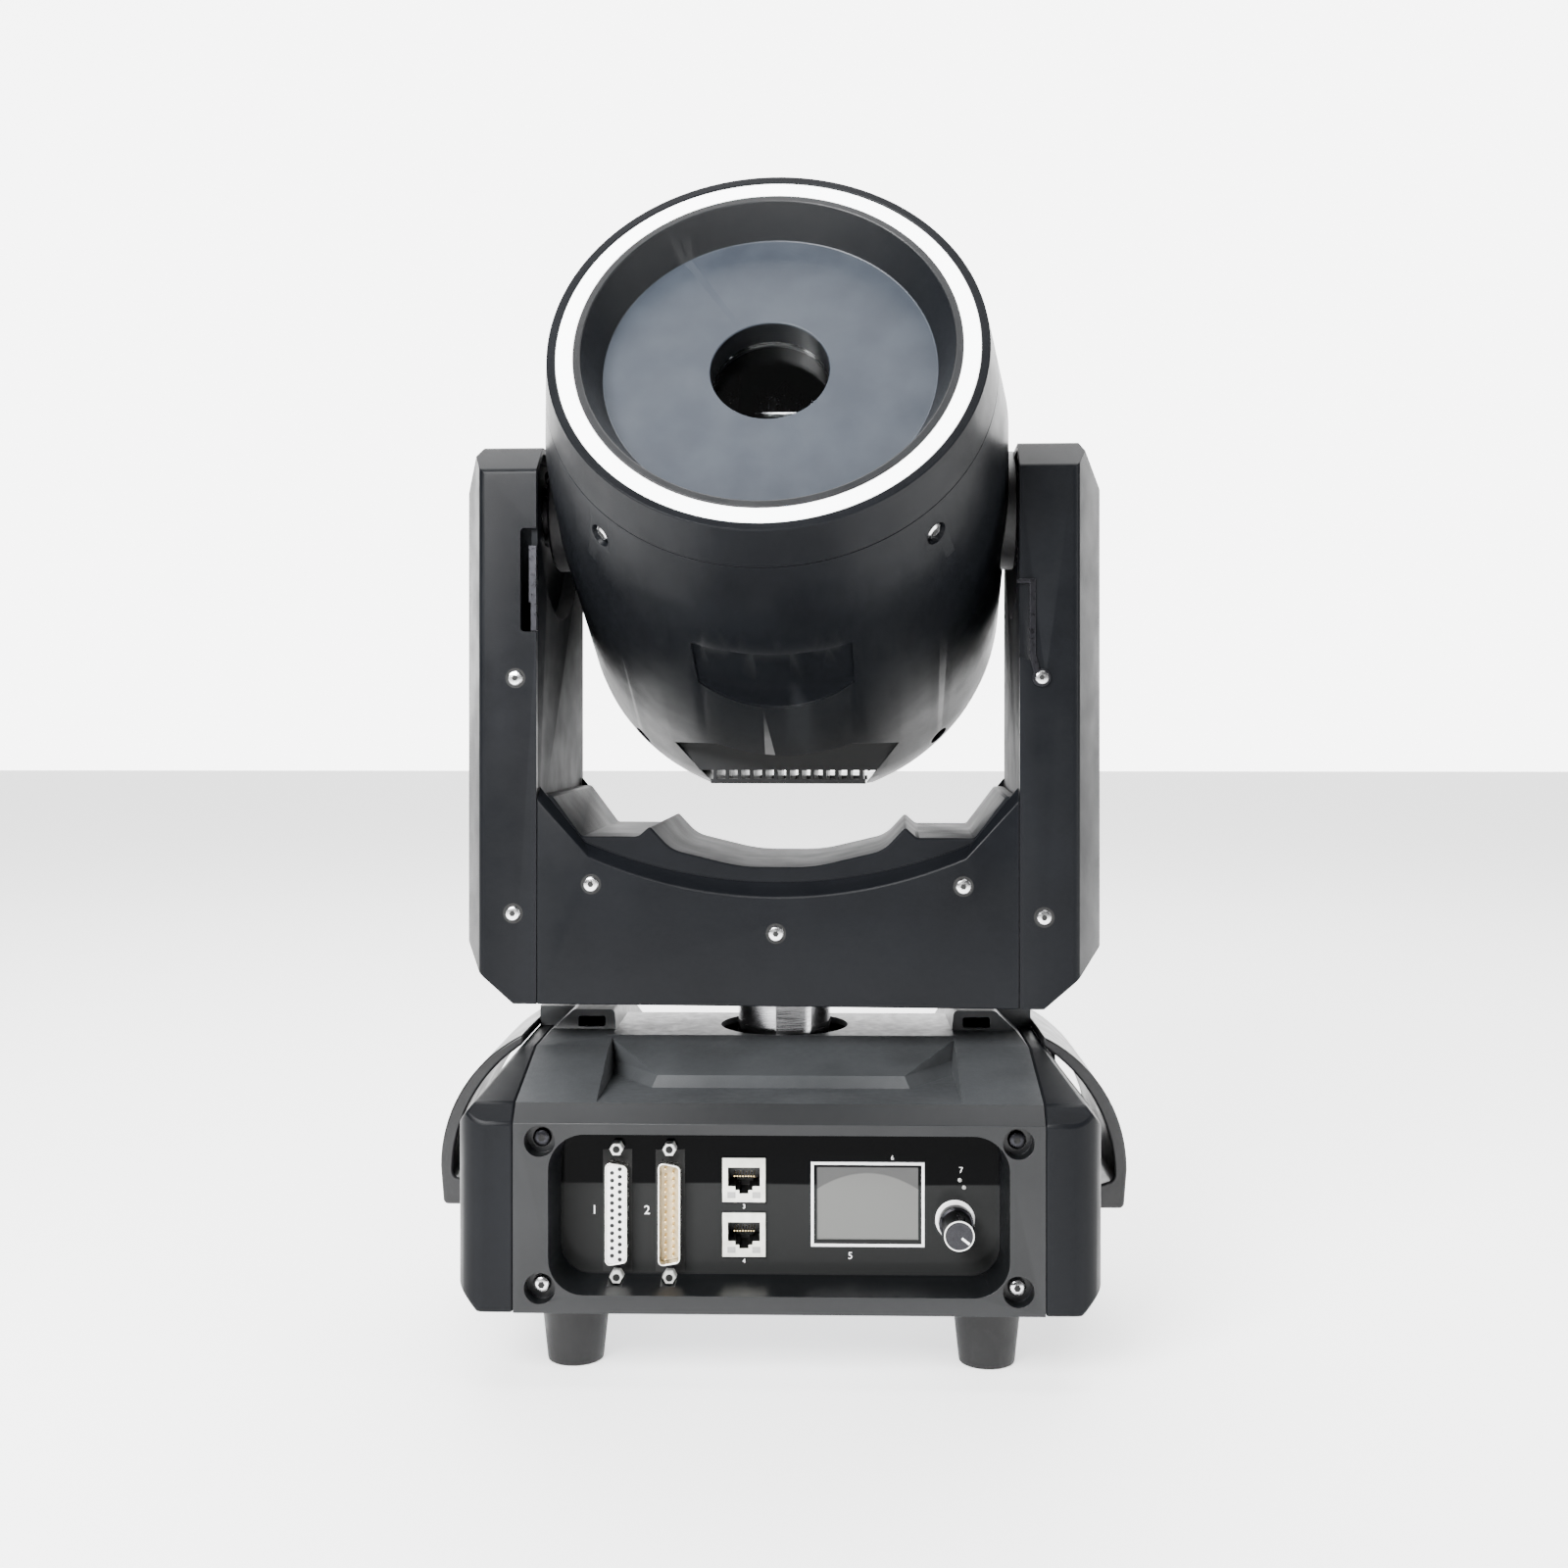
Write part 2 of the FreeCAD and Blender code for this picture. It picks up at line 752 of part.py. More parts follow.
def menu_knob():
    """Knob with a wider skirt, bored for its shaft."""
    back = panel_faces()[0] - knob_gap
    tip = back - knob_length
    grip = rod("y", knob_x, knob_z, tip, back, knob_front_radius)
    skirt = rod("y", knob_x, knob_z, back - knob_skirt_length, back, knob_skirt_radius)
    bore = rod("y", knob_x, knob_z, tip + 3.8, back + 1, encoder_shaft_radius + running_clearance)
    return join(grip, skirt).cut(bore)


# Rear panel

def rear_panel():
    front, back = panel_faces()
    span = ("xz", front - 1, back + 1)
    cuts = [prism(centred_rect(inlet_x, socket_z, inlet_width + touch, inlet_height + touch, 3), *span)]
    cuts += [rod("y", x, socket_z, front - 1, back + 1, socket_radius + touch)
             for x in (socket_in_x, socket_out_x)]
    return mirrored(less(panel_blank(), *cuts), y=1)


def power_inlet():
    """Mains appliance inlet with its shrouded socket and three blades."""
    face = -panel_faces()[0]
    plate = prism(centred_rect(inlet_x, socket_z, 48, inlet_height + 3, 4), "xz", face, face + 2)
    body = prism(centred_rect(inlet_x, socket_z, inlet_width, inlet_height, 3), "xz", face - 26, face + 1)
    well = prism(centred_rect(inlet_x, socket_z, 24, 16.5, 4), "xz", face - 16, face + 3)
    blades = [prism(centred_rect(inlet_x + dx, socket_z + dz, 2, 4), "xz", face - 18, face - 2)
              for dx, dz in ((-7, -2), (0, 2), (7, -2))]
    return join(join(plate, body).cut(well), *blades)


def xlr_socket(x, has_pins):
    """Three-contact round socket, either an open shell with pins or a plug-shaped block with holes."""
    face = -panel_faces()[0]
    flange = prism(centred_rect(x, socket_z, socket_flange, socket_flange + 5, 2), "xz", face, face + 2)
    block = join(flange, rod("y", x, socket_z, face - 20, face + 2, socket_radius))
    turns = [math.radians(angle) for angle in (30, 150, 270)]
    contacts = [(x + contact_circle * math.cos(a), socket_z + contact_circle * math.sin(a)) for a in turns]
    if has_pins:
        bore = rod("y", x, socket_z, face - 12, face + 3, socket_radius - 2.2)
        pins = [rod("y", a, b, face - 14, face - 2, contact_radius) for a, b in contacts]
        return join(block.cut(bore), *pins)
    return less(block, *[rod("y", a, b, face - 9, face + 3, contact_radius + touch) for a, b in contacts])


def xlr_sockets():
    return group([xlr_socket(socket_in_x, True), xlr_socket(socket_out_x, False)])


def power_supply():
    """Enclosed switching supply, a vented box beside the carrier."""
    low = foot_height + pan_sheet
    far = supply_inner_x + supply_width
    box = prism(rect(supply_inner_x, low, far, low + supply_height), "xz", -supply_front, supply_back)
    slots = [prism(rect(y - 2, low + 8, y + 2, low + supply_height - 8), "yz", supply_inner_x - 1, supply_inner_x + 2)
             for y in range(-40, 31, 10)]
    return less(box, *slots)


def main_board():
    """Circuit board on four posts, with its largest components."""
    low = foot_height + pan_sheet + board_post
    top = low + board_sheet
    inner = -board_inner_x
    outer = inner - board_width
    board = prism(rect(outer, -board_half_length, inner, board_half_length), "xy", low, top)
    posts = [rod("z", x, y, low - board_post, low, board_post_radius)
             for x in (outer + 4, inner - 4) for y in (-board_half_length + 4, board_half_length - 4)]
    chips = [prism(centred_rect(inner - x, y, w, d), "xy", top, top + h)
             for x, y, w, d, h in ((14, -20, 14, 14, 2), (16, 10, 10, 10, 12), (8, 30, 8, 20, 14))]
    return join(board, *posts, *chips)


# Yoke

def ring_pulley():
    low = yoke_bottom_z + 8.5
    return tube("z", 0, 0, low, low + pulley_width, ring_pulley_radius, spindle_radius + touch / 10)


def pan_motor_pulley():
    low = yoke_bottom_z + 8.5
    wheel = rod("z", pan_motor_x, 0, low, low + pulley_width, motor_pulley_radius)
    shaft = rod("z", pan_motor_x, 0, low, yoke_bottom_z + 19, motor_shaft_radius)
    return join(wheel, shaft)


def belt_loop(first, second, radius_first, radius_second, plane, low, high):
    """Flat belt around two pulleys at 2D points, the first one the larger."""
    span = math.dist(first, second)
    along = unit(first, second)
    across = (-along[1], along[0])
    lean = math.asin((radius_first - radius_second) / span)

    def at(centre, radius, angle):
        a = math.cos(angle) * radius
        b = math.sin(angle) * radius
        return centre[0] + along[0] * a + across[0] * b, centre[1] + along[1] * a + across[1] * b

    tangent = math.pi / 2 - lean
    points = [at(first, radius_first, tangent),
              (*at(first, radius_first, math.pi), *at(first, radius_first, -tangent)),
              at(second, radius_second, -tangent),
              (*at(second, radius_second, 0), *at(second, radius_second, tangent))]
    return prism(points, plane, low, high)


def belt(first, second, radius_first, radius_second, plane, low, high):
    inner = belt_clearance
    outer = belt_clearance + belt_thickness
    return belt_loop(first, second, radius_first + outer, radius_second + outer, plane, low, high).cut(
        belt_loop(first, second, radius_first + inner, radius_second + inner, plane, low - 1, high + 1))


def drive_belts():
    low = yoke_bottom_z + 9
    pan = belt((0, 0), (pan_motor_x, 0), ring_pulley_radius, motor_pulley_radius, "xy", low, low + pulley_width - 1)
    side = -tilt_pulley_x - pulley_width + 0.5
    tilt = belt((0, tilt_z), (0, tilt_motor_z), tilt_pulley_radius, tilt_drive_radius, "yz",
                side, side + pulley_width - 1)
    return group([pan, tilt])


def stepper_motors():
    """Two identical square stepper motors: the pan one stands, the tilt one lies."""
    half = motor_size / 2
    low = yoke_bottom_z + 19
    bore = motor_shaft_radius + 0.5
    pan = join(prism(rect(pan_motor_x - half, -half, pan_motor_x + half, half), "xy", low, low + motor_length),
               rod("z", pan_motor_x, 0, low - 2, low, 11))
    pan = pan.cut(rod("z", pan_motor_x, 0, low - 3, low + 2, bore))
    face = -arm_frame_x
    tilt = join(prism(rect(-half, tilt_motor_z - half, half, tilt_motor_z + half), "yz", face, face + motor_length),
                rod("x", 0, tilt_motor_z, face - 2, face, 11))
    tilt = tilt.cut(rod("x", 0, tilt_motor_z, face - 3, face + 2, bore))
    return group([pan, tilt])


def tilt_motor_pulley():
    side = -tilt_pulley_x - pulley_width
    wheel = rod("x", 0, tilt_motor_z, side, side + pulley_width, tilt_drive_radius)
    shaft = rod("x", 0, tilt_motor_z, side, -arm_frame_x, motor_shaft_radius)
    return join(wheel, shaft)


def yoke_base_plate():
    """Bottom plate with the pan bearing seat and the bridge that holds the pan motor."""
    top = yoke_bottom_z + yoke_plate
    half_width = arm_inner_x - seam - wall - touch
    half_depth = yoke_half_depth - wall - touch
    plate = prism(rect(-half_width, -half_depth, half_width, half_depth), "xy", yoke_bottom_z, top)
    seat = rod("z", 0, 0, top, yoke_bottom_z + 7.5, spindle_radius + bearing_ring + 3)
    reach = motor_size / 2 + 7
    deck = yoke_bottom_z + 16
    bridge = [(-reach, top), (-reach, deck + 3), (reach, deck + 3), (reach, top),
              (reach - 3, top), (reach - 3, deck), (-reach + 3, deck), (-reach + 3, top)]
    stand = prism(bridge, "yz", pan_motor_x - motor_size / 2, pan_motor_x + motor_size / 2)
    bore = rod("z", 0, 0, yoke_bottom_z - 1, yoke_bottom_z + 9, spindle_radius + bearing_ring + touch / 10)
    nose = rod("z", pan_motor_x, 0, deck - 1, deck + 4, 11 + touch)
    return less(join(plate, seat, stand), bore, nose)


def bearings():
    """One pan bearing and two tilt bearings, each a plain ring."""
    pan = tube("z", 0, 0, yoke_bottom_z + 0.5, yoke_bottom_z + 7.5, spindle_radius + bearing_ring,
               spindle_radius + running_clearance)
    start = arm_frame_x + arm_frame_sheet / 2 - tilt_bearing_width / 2
    tilt = tube("x", 0, tilt_z, start, start + tilt_bearing_width, tilt_bearing_outer,
                trunnion_radius + running_clearance)
    return group([pan, tilt, mirrored(tilt, x=1)])


def arm_frame():
    """Right upright: bent plate with a foot and the tilt bearing's housing."""
    low = yoke_bottom_z + yoke_plate
    out = arm_frame_x + arm_frame_sheet
    toe = arm_frame_toe_x
    sheet = arm_frame_sheet
    bend = out - 9
    lift = sheet * math.tan(math.radians(22.5))
    angle = [(toe, low), (bend, low), (out, low + 9), (out, arm_frame_top_z), (arm_frame_x, arm_frame_top_z),
             (arm_frame_x, low + 9 + lift), (bend - lift, low + sheet), (toe, low + sheet)]
    plate = prism(angle, "xz", -arm_frame_half_depth, arm_frame_half_depth)
    start = arm_frame_x + arm_frame_sheet / 2 - tilt_bearing_width / 2
    housing = rod("x", 0, tilt_z, start, start + tilt_bearing_width, tilt_bearing_outer + 3)
    bore = rod("x", 0, tilt_z, start - 1, start + tilt_bearing_width + 1, tilt_bearing_outer + touch / 10)
    top = arm_frame_top_z
    crown = prism([(-arm_frame_half_depth, 300), (-14, top), (14, top), (arm_frame_half_depth, 300),
                   (arm_frame_half_depth, 100), (-arm_frame_half_depth, 100)], "yz", toe - 1, out + 10)
    windows = [prism(rect(-16, z, 16, z + 36), "yz", arm_frame_x - 1, out + 1) for z in (192, 240)]
    return less(join(overlap(plate, crown), housing), bore, *windows)


def arm_frames():
    right = arm_frame()
    nose = rod("x", 0, tilt_motor_z, -arm_frame_x - 10, -arm_frame_x + 1, 11 + touch)
    return group([right, mirrored(right, x=1).cut(nose)])


def arm_plan(inner_x):
    return [(inner_x, -yoke_half_depth), (arm_front_x, -yoke_half_depth, 3), (arm_outer_x, -arm_slant_y, 9),
            (arm_outer_x, arm_slant_y, 9), (arm_front_x, yoke_half_depth, 3), (inner_x, yoke_half_depth)]


def arm_side_view():
    return [(-yoke_half_depth, yoke_bottom_z), (-yoke_half_depth, arm_front_top_z, 3),
            (-arm_ridge_y, arm_top_z, 4), (arm_ridge_y, arm_top_z, 4),
            (yoke_half_depth, arm_front_top_z, 3), (yoke_half_depth, yoke_bottom_z)]


def arm_form(inset, inner_x):
    """Right arm casing as the overlap of its plan, front and side views."""
    front_view = [(inner_x, yoke_bottom_z), (arm_chin_x, yoke_bottom_z), (arm_outer_x, arm_chin_z),
                  (arm_outer_x, arm_shoulder_z), (arm_shoulder_x, arm_top_z), (inner_x, arm_top_z)]
    return overlap(prism(shrink(arm_plan(inner_x), inset), "xy", yoke_bottom_z, arm_top_z),
                   prism(shrink(front_view, inset), "xz", -yoke_half_depth, yoke_half_depth),
                   prism(shrink(arm_side_view(), inset), "yz", inner_x, arm_outer_x))


def arm_shell(front_notch):
    """Outer casing of the right arm: front, flank, back, top and bottom walls."""
    shell = arm_form(0, arm_inner_x).cut(arm_form(wall, arm_inner_x - 4 * wall))
    sight = prism(rect(arm_inner_x - 1, sight_low_z, recess_x, sight_high_z), "xz", recess_radius, yoke_half_depth + 1)
    return less(shell, sight, front_notch)


def arm_shell_right():
    slot = prism([(arm_inner_x - 1, slot_low_z), (arm_inner_x + 4.6, slot_low_z - 1.5), (arm_inner_x + 4.6, slot_high_z),
                  (arm_inner_x - 1, slot_high_z)], "xz", -yoke_half_depth - 1, -yoke_half_depth + slot_depth)
    pin = rod("y", lever_pivot_x, lever_pivot_z, -yoke_half_depth - 1, -yoke_half_depth + wall + 1,
              lever_pin_radius + running_clearance)
    return arm_shell(join(slot, pin))


def arm_shell_left():
    notch = prism(rect(arm_inner_x - 1, notch_low_z, arm_inner_x + notch_depth, notch_high_z, 1.5), "xz",
                  -yoke_half_depth - 1, -yoke_half_depth + wall + 1)
    return mirrored(arm_shell(notch), x=1)


def recess_shape(grow):
    radius = recess_radius + grow
    top = arm_top_z + 5
    return [(-radius, top), (-radius, tilt_z), (0, tilt_z - radius, radius, tilt_z), (radius, top)]


def arm_panel():
    """Inner cover of the right arm, with the deep round-bottomed recess for the head's hub."""
    edge = shrink(arm_side_view(), wall + touch)
    limit = prism(edge, "yz", arm_inner_x - 1, recess_x + wall + 1)
    above = prism(rect(-60, arm_panel_low_z, 60, 400), "yz", arm_inner_x - 1, recess_x + wall + 1)
    plate = prism(rect(-60, 100, 60, 400), "yz", arm_inner_x, arm_inner_x + wall)
    pot = prism(recess_shape(wall), "yz", arm_inner_x, recess_x + wall)
    hollow = prism(recess_shape(0), "yz", arm_inner_x - 1, recess_x)
    hub = rod("x", 0, tilt_z, recess_x - 1, recess_x + wall + 1, trunnion_hole)
    sight = prism(rect(arm_inner_x - 1, sight_low_z, recess_x, sight_high_z), "xz", recess_radius - 1, yoke_half_depth)
    return less(overlap(join(plate, pot), limit, above), hollow, hub, sight)


def arm_panel_right():
    return arm_panel()


def arm_panel_left():
    return mirrored(arm_panel(), x=1)


def cover_outline(rise, half_width, low):
    """Front view of the yoke cover; rise lifts its saddle edge."""
    corner_z = cover_corner_z + rise
    shoulder_x = cover_shoulder_x + rise * 0.4
    shoulder_z = cover_shoulder_z + rise
    return [(-half_width, low), (half_width, low), (half_width, corner_z), (shoulder_x, shoulder_z),
            (0, cover_middle_z + rise, -shoulder_x, shoulder_z), (-half_width, corner_z)]


def yoke_cover():
    """Front cover of the yoke with a bevelled saddle edge, open at the back."""
    half = arm_inner_x - seam
    face = -yoke_half_depth
    shell = frustum(cover_outline(0, half, yoke_bottom_z), cover_outline(lip_rise, half, yoke_bottom_z), "xz",
                    face, -cover_lip_y)
    hollow = prism(cover_outline(-wall, half - wall, yoke_bottom_z - 5), "xz", face + wall, -cover_lip_y + 1)
    return shell.cut(hollow)


def yoke_front_cover():
    return yoke_cover()


def yoke_rear_cover():
    return mirrored(yoke_cover(), y=1)


def saddle_outline(drop, low):
    """Top lining between the arms: a round dip, two teeth, two shelves and raised ends."""
    dip = saddle_low_z + 16
    shelf = saddle_low_z + 27.5
    end = saddle_low_z + 43.5
    tooth_x = arm_inner_x - 43.3
    half = [(14, dip, 60), (tooth_x - 8.5, dip + 6.5, 14), (tooth_x, shelf + 4, 1), (tooth_x + 4.5, shelf),
            (arm_inner_x - 16.8, shelf), (arm_inner_x - 4.8, end)]
    end_x = arm_inner_x - seam
    right = [(p[0], p[1] - drop, *p[2:]) for p in half] + [(end_x, end - drop)]
    left = [(-p[0], *p[1:]) for p in reversed(right)]
    return [(-end_x, low)] + left + right + [(end_x, low)]


def yoke_saddle():
    depth = cover_lip_y - touch
    outside = prism(saddle_outline(0, saddle_low_z), "xz", -depth, depth)
    hollow = prism(saddle_outline(wall, saddle_low_z - 5), "xz", -depth + wall, depth - wall)
    relief = prism(rect(-motor_size / 2 - 3, saddle_low_z - 1, motor_size / 2 + 3, tilt_motor_z + motor_size / 2 + 2),
                   "yz", arm_inner_x - 4 * wall, arm_inner_x)
    return less(outside, hollow, relief, mirrored(relief, x=1))


def tilt_lock():
    """Slider in the left arm's notch."""
    x = -arm_inner_x
    panel_edge = -yoke_half_depth + wall + touch
    foot = notch_low_z + lock_clearance
    strip = [(x - lock_width, foot), (x, foot), (x, foot + lock_length), (x - lock_width - 0.8, foot + lock_length),
             (x - lock_width - 0.8, foot + lock_step), (x - lock_width, foot + lock_step)]
    return prism(strip, "xz", -yoke_half_depth + lock_clearance, panel_edge - lock_clearance)


def lock_lever():
    """Thin lever on the right arm's front, pinned at its foot, with a tab towards the head."""
    back = -yoke_half_depth - lock_clearance
    front = back - lever_sheet
    eye = rod("y", lever_pivot_x, lever_pivot_z, front, back, lever_eye_radius)
    pin = rod("y", lever_pivot_x, lever_pivot_z, front, -yoke_half_depth + wall, lever_pin_radius)
    left = lever_pivot_x - lever_eye_radius - lever_width / 2
    right = left + lever_width
    blade = prism([
        (lever_pivot_x - lever_eye_radius + 1, lever_pivot_z), (left, lever_pivot_z + 8),
        (left, lever_top_z - 1.4), (lever_tab_x, lever_top_z - 1.4), (lever_tab_x, lever_top_z),
        (right, lever_top_z), (right, lever_pivot_z + 9), (lever_pivot_x, lever_pivot_z),
    ], "xz", front, back)
    return join(eye, pin, blade)


# Head

def rear_round(radius, steps):
    """Profile points round the rear edge, at a radius about the centre of its rounding."""
    centre_r = barrel_radius - rear_corner
    centre_t = rear_t + rear_corner
    sweep = [math.pi / 2 * step / steps for step in range(steps + 1)]
    return [(centre_r + radius * math.cos(a), centre_t - radius * math.sin(a)) for a in sweep]


def head_outside(inset=0.0):
    """Outer form of the head's body, or the same form drawn in by an amount."""
    return turned([
        (0, collar_t), (collar_radius - inset, collar_t), (barrel_mid_radius - inset, barrel_mid_t),
        (barrel_radius - inset, barrel_full_t), *rear_round(rear_corner - inset, round_steps),
        (0, rear_t + inset),
    ])


def head_hollow():
    """Inside of the body: two straight bores and a rounded end."""
    bore = barrel_mid_radius - wall
    end = rear_round(bore - barrel_radius + rear_corner, hollow_steps)
    return turned([
        (0, collar_t + 1), (collar_radius - wall, collar_t + 1), (collar_radius - wall, barrel_mid_t),
        (bore, barrel_mid_t), *end, (end[-1][0], rear_t + wall), (0, rear_t + wall),
    ])


def head_body():
    """Barrel wall with the screw bosses and the bosses that sit on the trunnion flanges."""
    outside = head_outside()
    boss_width = 2 * shell_screw_hole + wall
    boss = prism(centred_rect(0, 0, boss_width, boss_width), "yz", shell_screw_seat - shell_boss_depth, barrel_radius)
    bosses = [radial(boss, t, angle) for t, angle in shell_screw_places()]
    hubs = rod("x", 0, 0, -barrel_radius, barrel_radius, trunnion_boss).cut(
        rod("x", 0, 0, -trunnion_inner_x - trunnion_flange, trunnion_inner_x + trunnion_flange, trunnion_boss + 1))
    shell = outside.cut(head_hollow())
    return shell.fuse(overlap(group(bosses), outside)).fuse(overlap(hubs, outside))


def vent_cut():
    """Duct across the head's lower back, as it lies at rest, and the flat face around it."""
    flat = prism(rect(-90, 0, 90, 200), "xy", 150, vent_cut_z)
    duct = prism([(-vent_low_half, vent_cut_z - 5), (vent_low_half, vent_cut_z - 5), (vent_low_half, vent_cut_z),
                  (vent_top_half, vent_top_z), (-vent_top_half, vent_top_z), (-vent_low_half, vent_cut_z)], "xz",
                 -5, vent_back_y + 1)
    through = prism(rect(-vent_low_half, vent_cut_z - 5, vent_low_half, vent_duct_z), "xz", 0, 110)
    return join(flat, duct, through)


def shell_wells():
    """Deep round wells that reach down to the seats of the shell screws."""
    well = rod("x", 0, 0, shell_screw_seat, barrel_radius + 5, shell_screw_hole)
    return [radial(well, t, angle) for t, angle in shell_screw_places()]


def shell_screw_places():
    """Positions round the head as (t, angle) of the screws that hold its two shells."""
    return [(t, angle) for t in (shell_screw_front_t, shell_screw_rear_t) for angle in (45, 135, 225, 315)]


def radial(shape, t, angle):
    """Turn a shape modelled along +X at t = 0 to an angle round the head's axis."""
    return moved(shape, FreeCAD.Placement(vec(0, 0, t), FreeCAD.Rotation(vec(0, 0, 1), angle)))


def badge_recess():
    """Shallow field on the lower shell, with a bowed rear edge."""
    field = [(-badge_half_width, badge_front_t), (badge_half_width, badge_front_t),
             (badge_half_width, badge_rear_t + 9),
             (0, badge_rear_t - 3, -badge_half_width, badge_rear_t + 9)]
    block = prism(field, "xz", -barrel_radius - 1, -barrel_radius / 2)
    skin = head_outside().cut(head_outside(badge_depth))
    return overlap(block, skin)


def head_shell(upper):
    """One half of the head's body, split on the plane through the tilt and beam axes."""
    half = Part.makeBox(200, 100, 300, vec(-100, 0 if upper else -100, -150))
    bore = rod("x", 0, 0, -120, 120, trunnion_hole)
    shell = less(overlap(head_body(), half), bore, *shell_wells())
    if upper:
        return in_head(shell)
    return in_head(shell.cut(badge_recess())).cut(vent_cut())


def head_shell_upper():
    return head_shell(True)


def head_shell_lower():
    return head_shell(False)


def head_front_collar():
    """Front ring with the seat of the halo ring and a lip over the seam."""
    back = collar_t + seam
    seat = rim_t - halo_depth
    inner = collar_radius - wall
    profile = [
        (inner, back), (collar_radius, back), (rim_radius, rim_t),
        (halo_outer + touch, rim_t), (halo_outer + touch, seat), (cup_rim_radius - 1.2, seat),
        (cup_rim_radius - 1.2, seat - wall), (halo_outer, seat - wall),
    ]
    return in_head(turned(profile))


def halo_diffuser():
    seat = rim_t - halo_depth
    return in_head(turned([(halo_inner, seat), (halo_inner, rim_t - 0.3), (halo_outer, rim_t - 0.3),
                           (halo_outer, seat)]))


def front_cup():
    """Dished front: a drafted wall down to the flat plate, with the aperture's tube."""
    seat = rim_t - halo_depth
    out = halo_inner - touch
    profile = [
        (aperture_radius, aperture_tube_t), (aperture_radius, plate_t), (plate_radius, plate_t),
        (cup_rim_radius, rim_t), (out, rim_t), (out, seat), (cup_rim_radius - 1.8, seat),
        (plate_radius + 1, plate_t - wall), (aperture_radius + wall, plate_t - wall),
        (aperture_radius + wall, aperture_tube_t),
    ]
    return in_head(turned(profile))


def aperture_window():
    low = aperture_tube_t + 2
    return in_head(rod("z", 0, 0, low, low + window_glass, aperture_radius - touch / 2))


def trunnion(out_x):
    flange = rod("x", 0, 0, trunnion_inner_x, trunnion_inner_x + trunnion_flange, trunnion_flange_radius)
    return join(flange, rod("x", 0, 0, trunnion_inner_x, out_x, trunnion_radius))


def trunnions():
    """Stub shafts of the tilt axis; the left one is longer and carries the tilt pulley."""
    right = trunnion(arm_frame_x + tilt_bearing_width)
    left = mirrored(trunnion(tilt_pulley_x + pulley_width + 1), x=1)
    return in_head(group([right, left]))


def tilt_pulley():
    side = -tilt_pulley_x - pulley_width
    return in_head(tube("x", 0, 0, side, side + pulley_width, tilt_pulley_radius, trunnion_radius + touch / 10))


def head_chassis():
    """Tray between the trunnions that carries the laser engine."""
    inner = trunnion_inner_x - tray_sheet
    floor = -laser_bottom
    base = -tray_half_height
    tray = prism([
        (-trunnion_inner_x, -base), (-trunnion_inner_x, base), (-inner, base), (-inner, floor - tray_sheet),
        (inner, floor - tray_sheet), (inner, base), (trunnion_inner_x, base), (trunnion_inner_x, -base),
        (inner, -base), (inner, floor), (-inner, floor), (-inner, -base),
    ], "xy", -tray_back, tray_front)
    return in_head(tray)


def laser_module():
    """Laser engine with cooling ribs and its beam nozzle."""
    half = laser_half_width
    body = prism(rect(-half, -laser_bottom, half, laser_top), "xy", -laser_back, laser_front)
    pitch = (2 * half - rib_thickness) / (rib_count - 1)
    starts = [-half + index * pitch for index in range(rib_count)]
    ribs = [prism(rect(x, laser_top, x + rib_thickness, laser_top + rib_height), "xy", 4 - laser_back,
                  laser_front - 4) for x in starts]
    nozzle = rod("z", fold_x, galvo_rise, laser_front, laser_front + 4, 5)
    return in_head(join(body, nozzle, *ribs))


def galvo_block():
    """Bracket with the fold mirror and the two mirror motors set square to each other."""
    t = galvo_t
    base = prism(rect(-30, -16, 38, -9), "xy", t - 16, t + 8)
    cheek = prism(rect(13, -9, 36, 9), "xy", t - 7, t + 7)
    arm = prism(rect(-9, -9, 9, 24), "xy", t - 16, t - 9)
    y_motor = rod("x", 0, t, mirror_half + 4, 38, galvo_radius)
    x_motor = rod("z", 0, galvo_rise, t - 20, t - 6, galvo_radius)
    fold = prism([(fold_x - 6, t - 6), (fold_x - 6, t + 8), (fold_x + 8, t + 8)], "xz", -9, galvo_rise + 6)
    return in_head(join(base, cheek, arm, y_motor, x_motor, fold))


def galvo_mirror_y():
    """Output mirror on a shaft along the tilt direction, set at 45 degrees."""
    plate = prism(centred_rect(0, 0, 13, mirror_thickness), "yz", -mirror_half, mirror_half)
    shaft = rod("x", 0, 0, mirror_half - 1, mirror_half + 3.8, 1.4)
    turn = FreeCAD.Placement(vec(0, 0, galvo_t), FreeCAD.Rotation(vec(1, 0, 0), 45))
    return in_head(moved(join(plate, shaft), turn))


def galvo_mirror_x():
    """First mirror on a shaft along the beam direction, set at 45 degrees."""
    plate = prism(centred_rect(0, 0, 10, mirror_thickness), "xy", -4.5, 5.5)
    shaft = rod("z", 0, 0, -5.8, -4, 1.4)
    turn = FreeCAD.Placement(vec(0, galvo_rise, galvo_t), FreeCAD.Rotation(vec(0, 0, 1), 45))
    return in_head(moved(join(plate, shaft), turn))


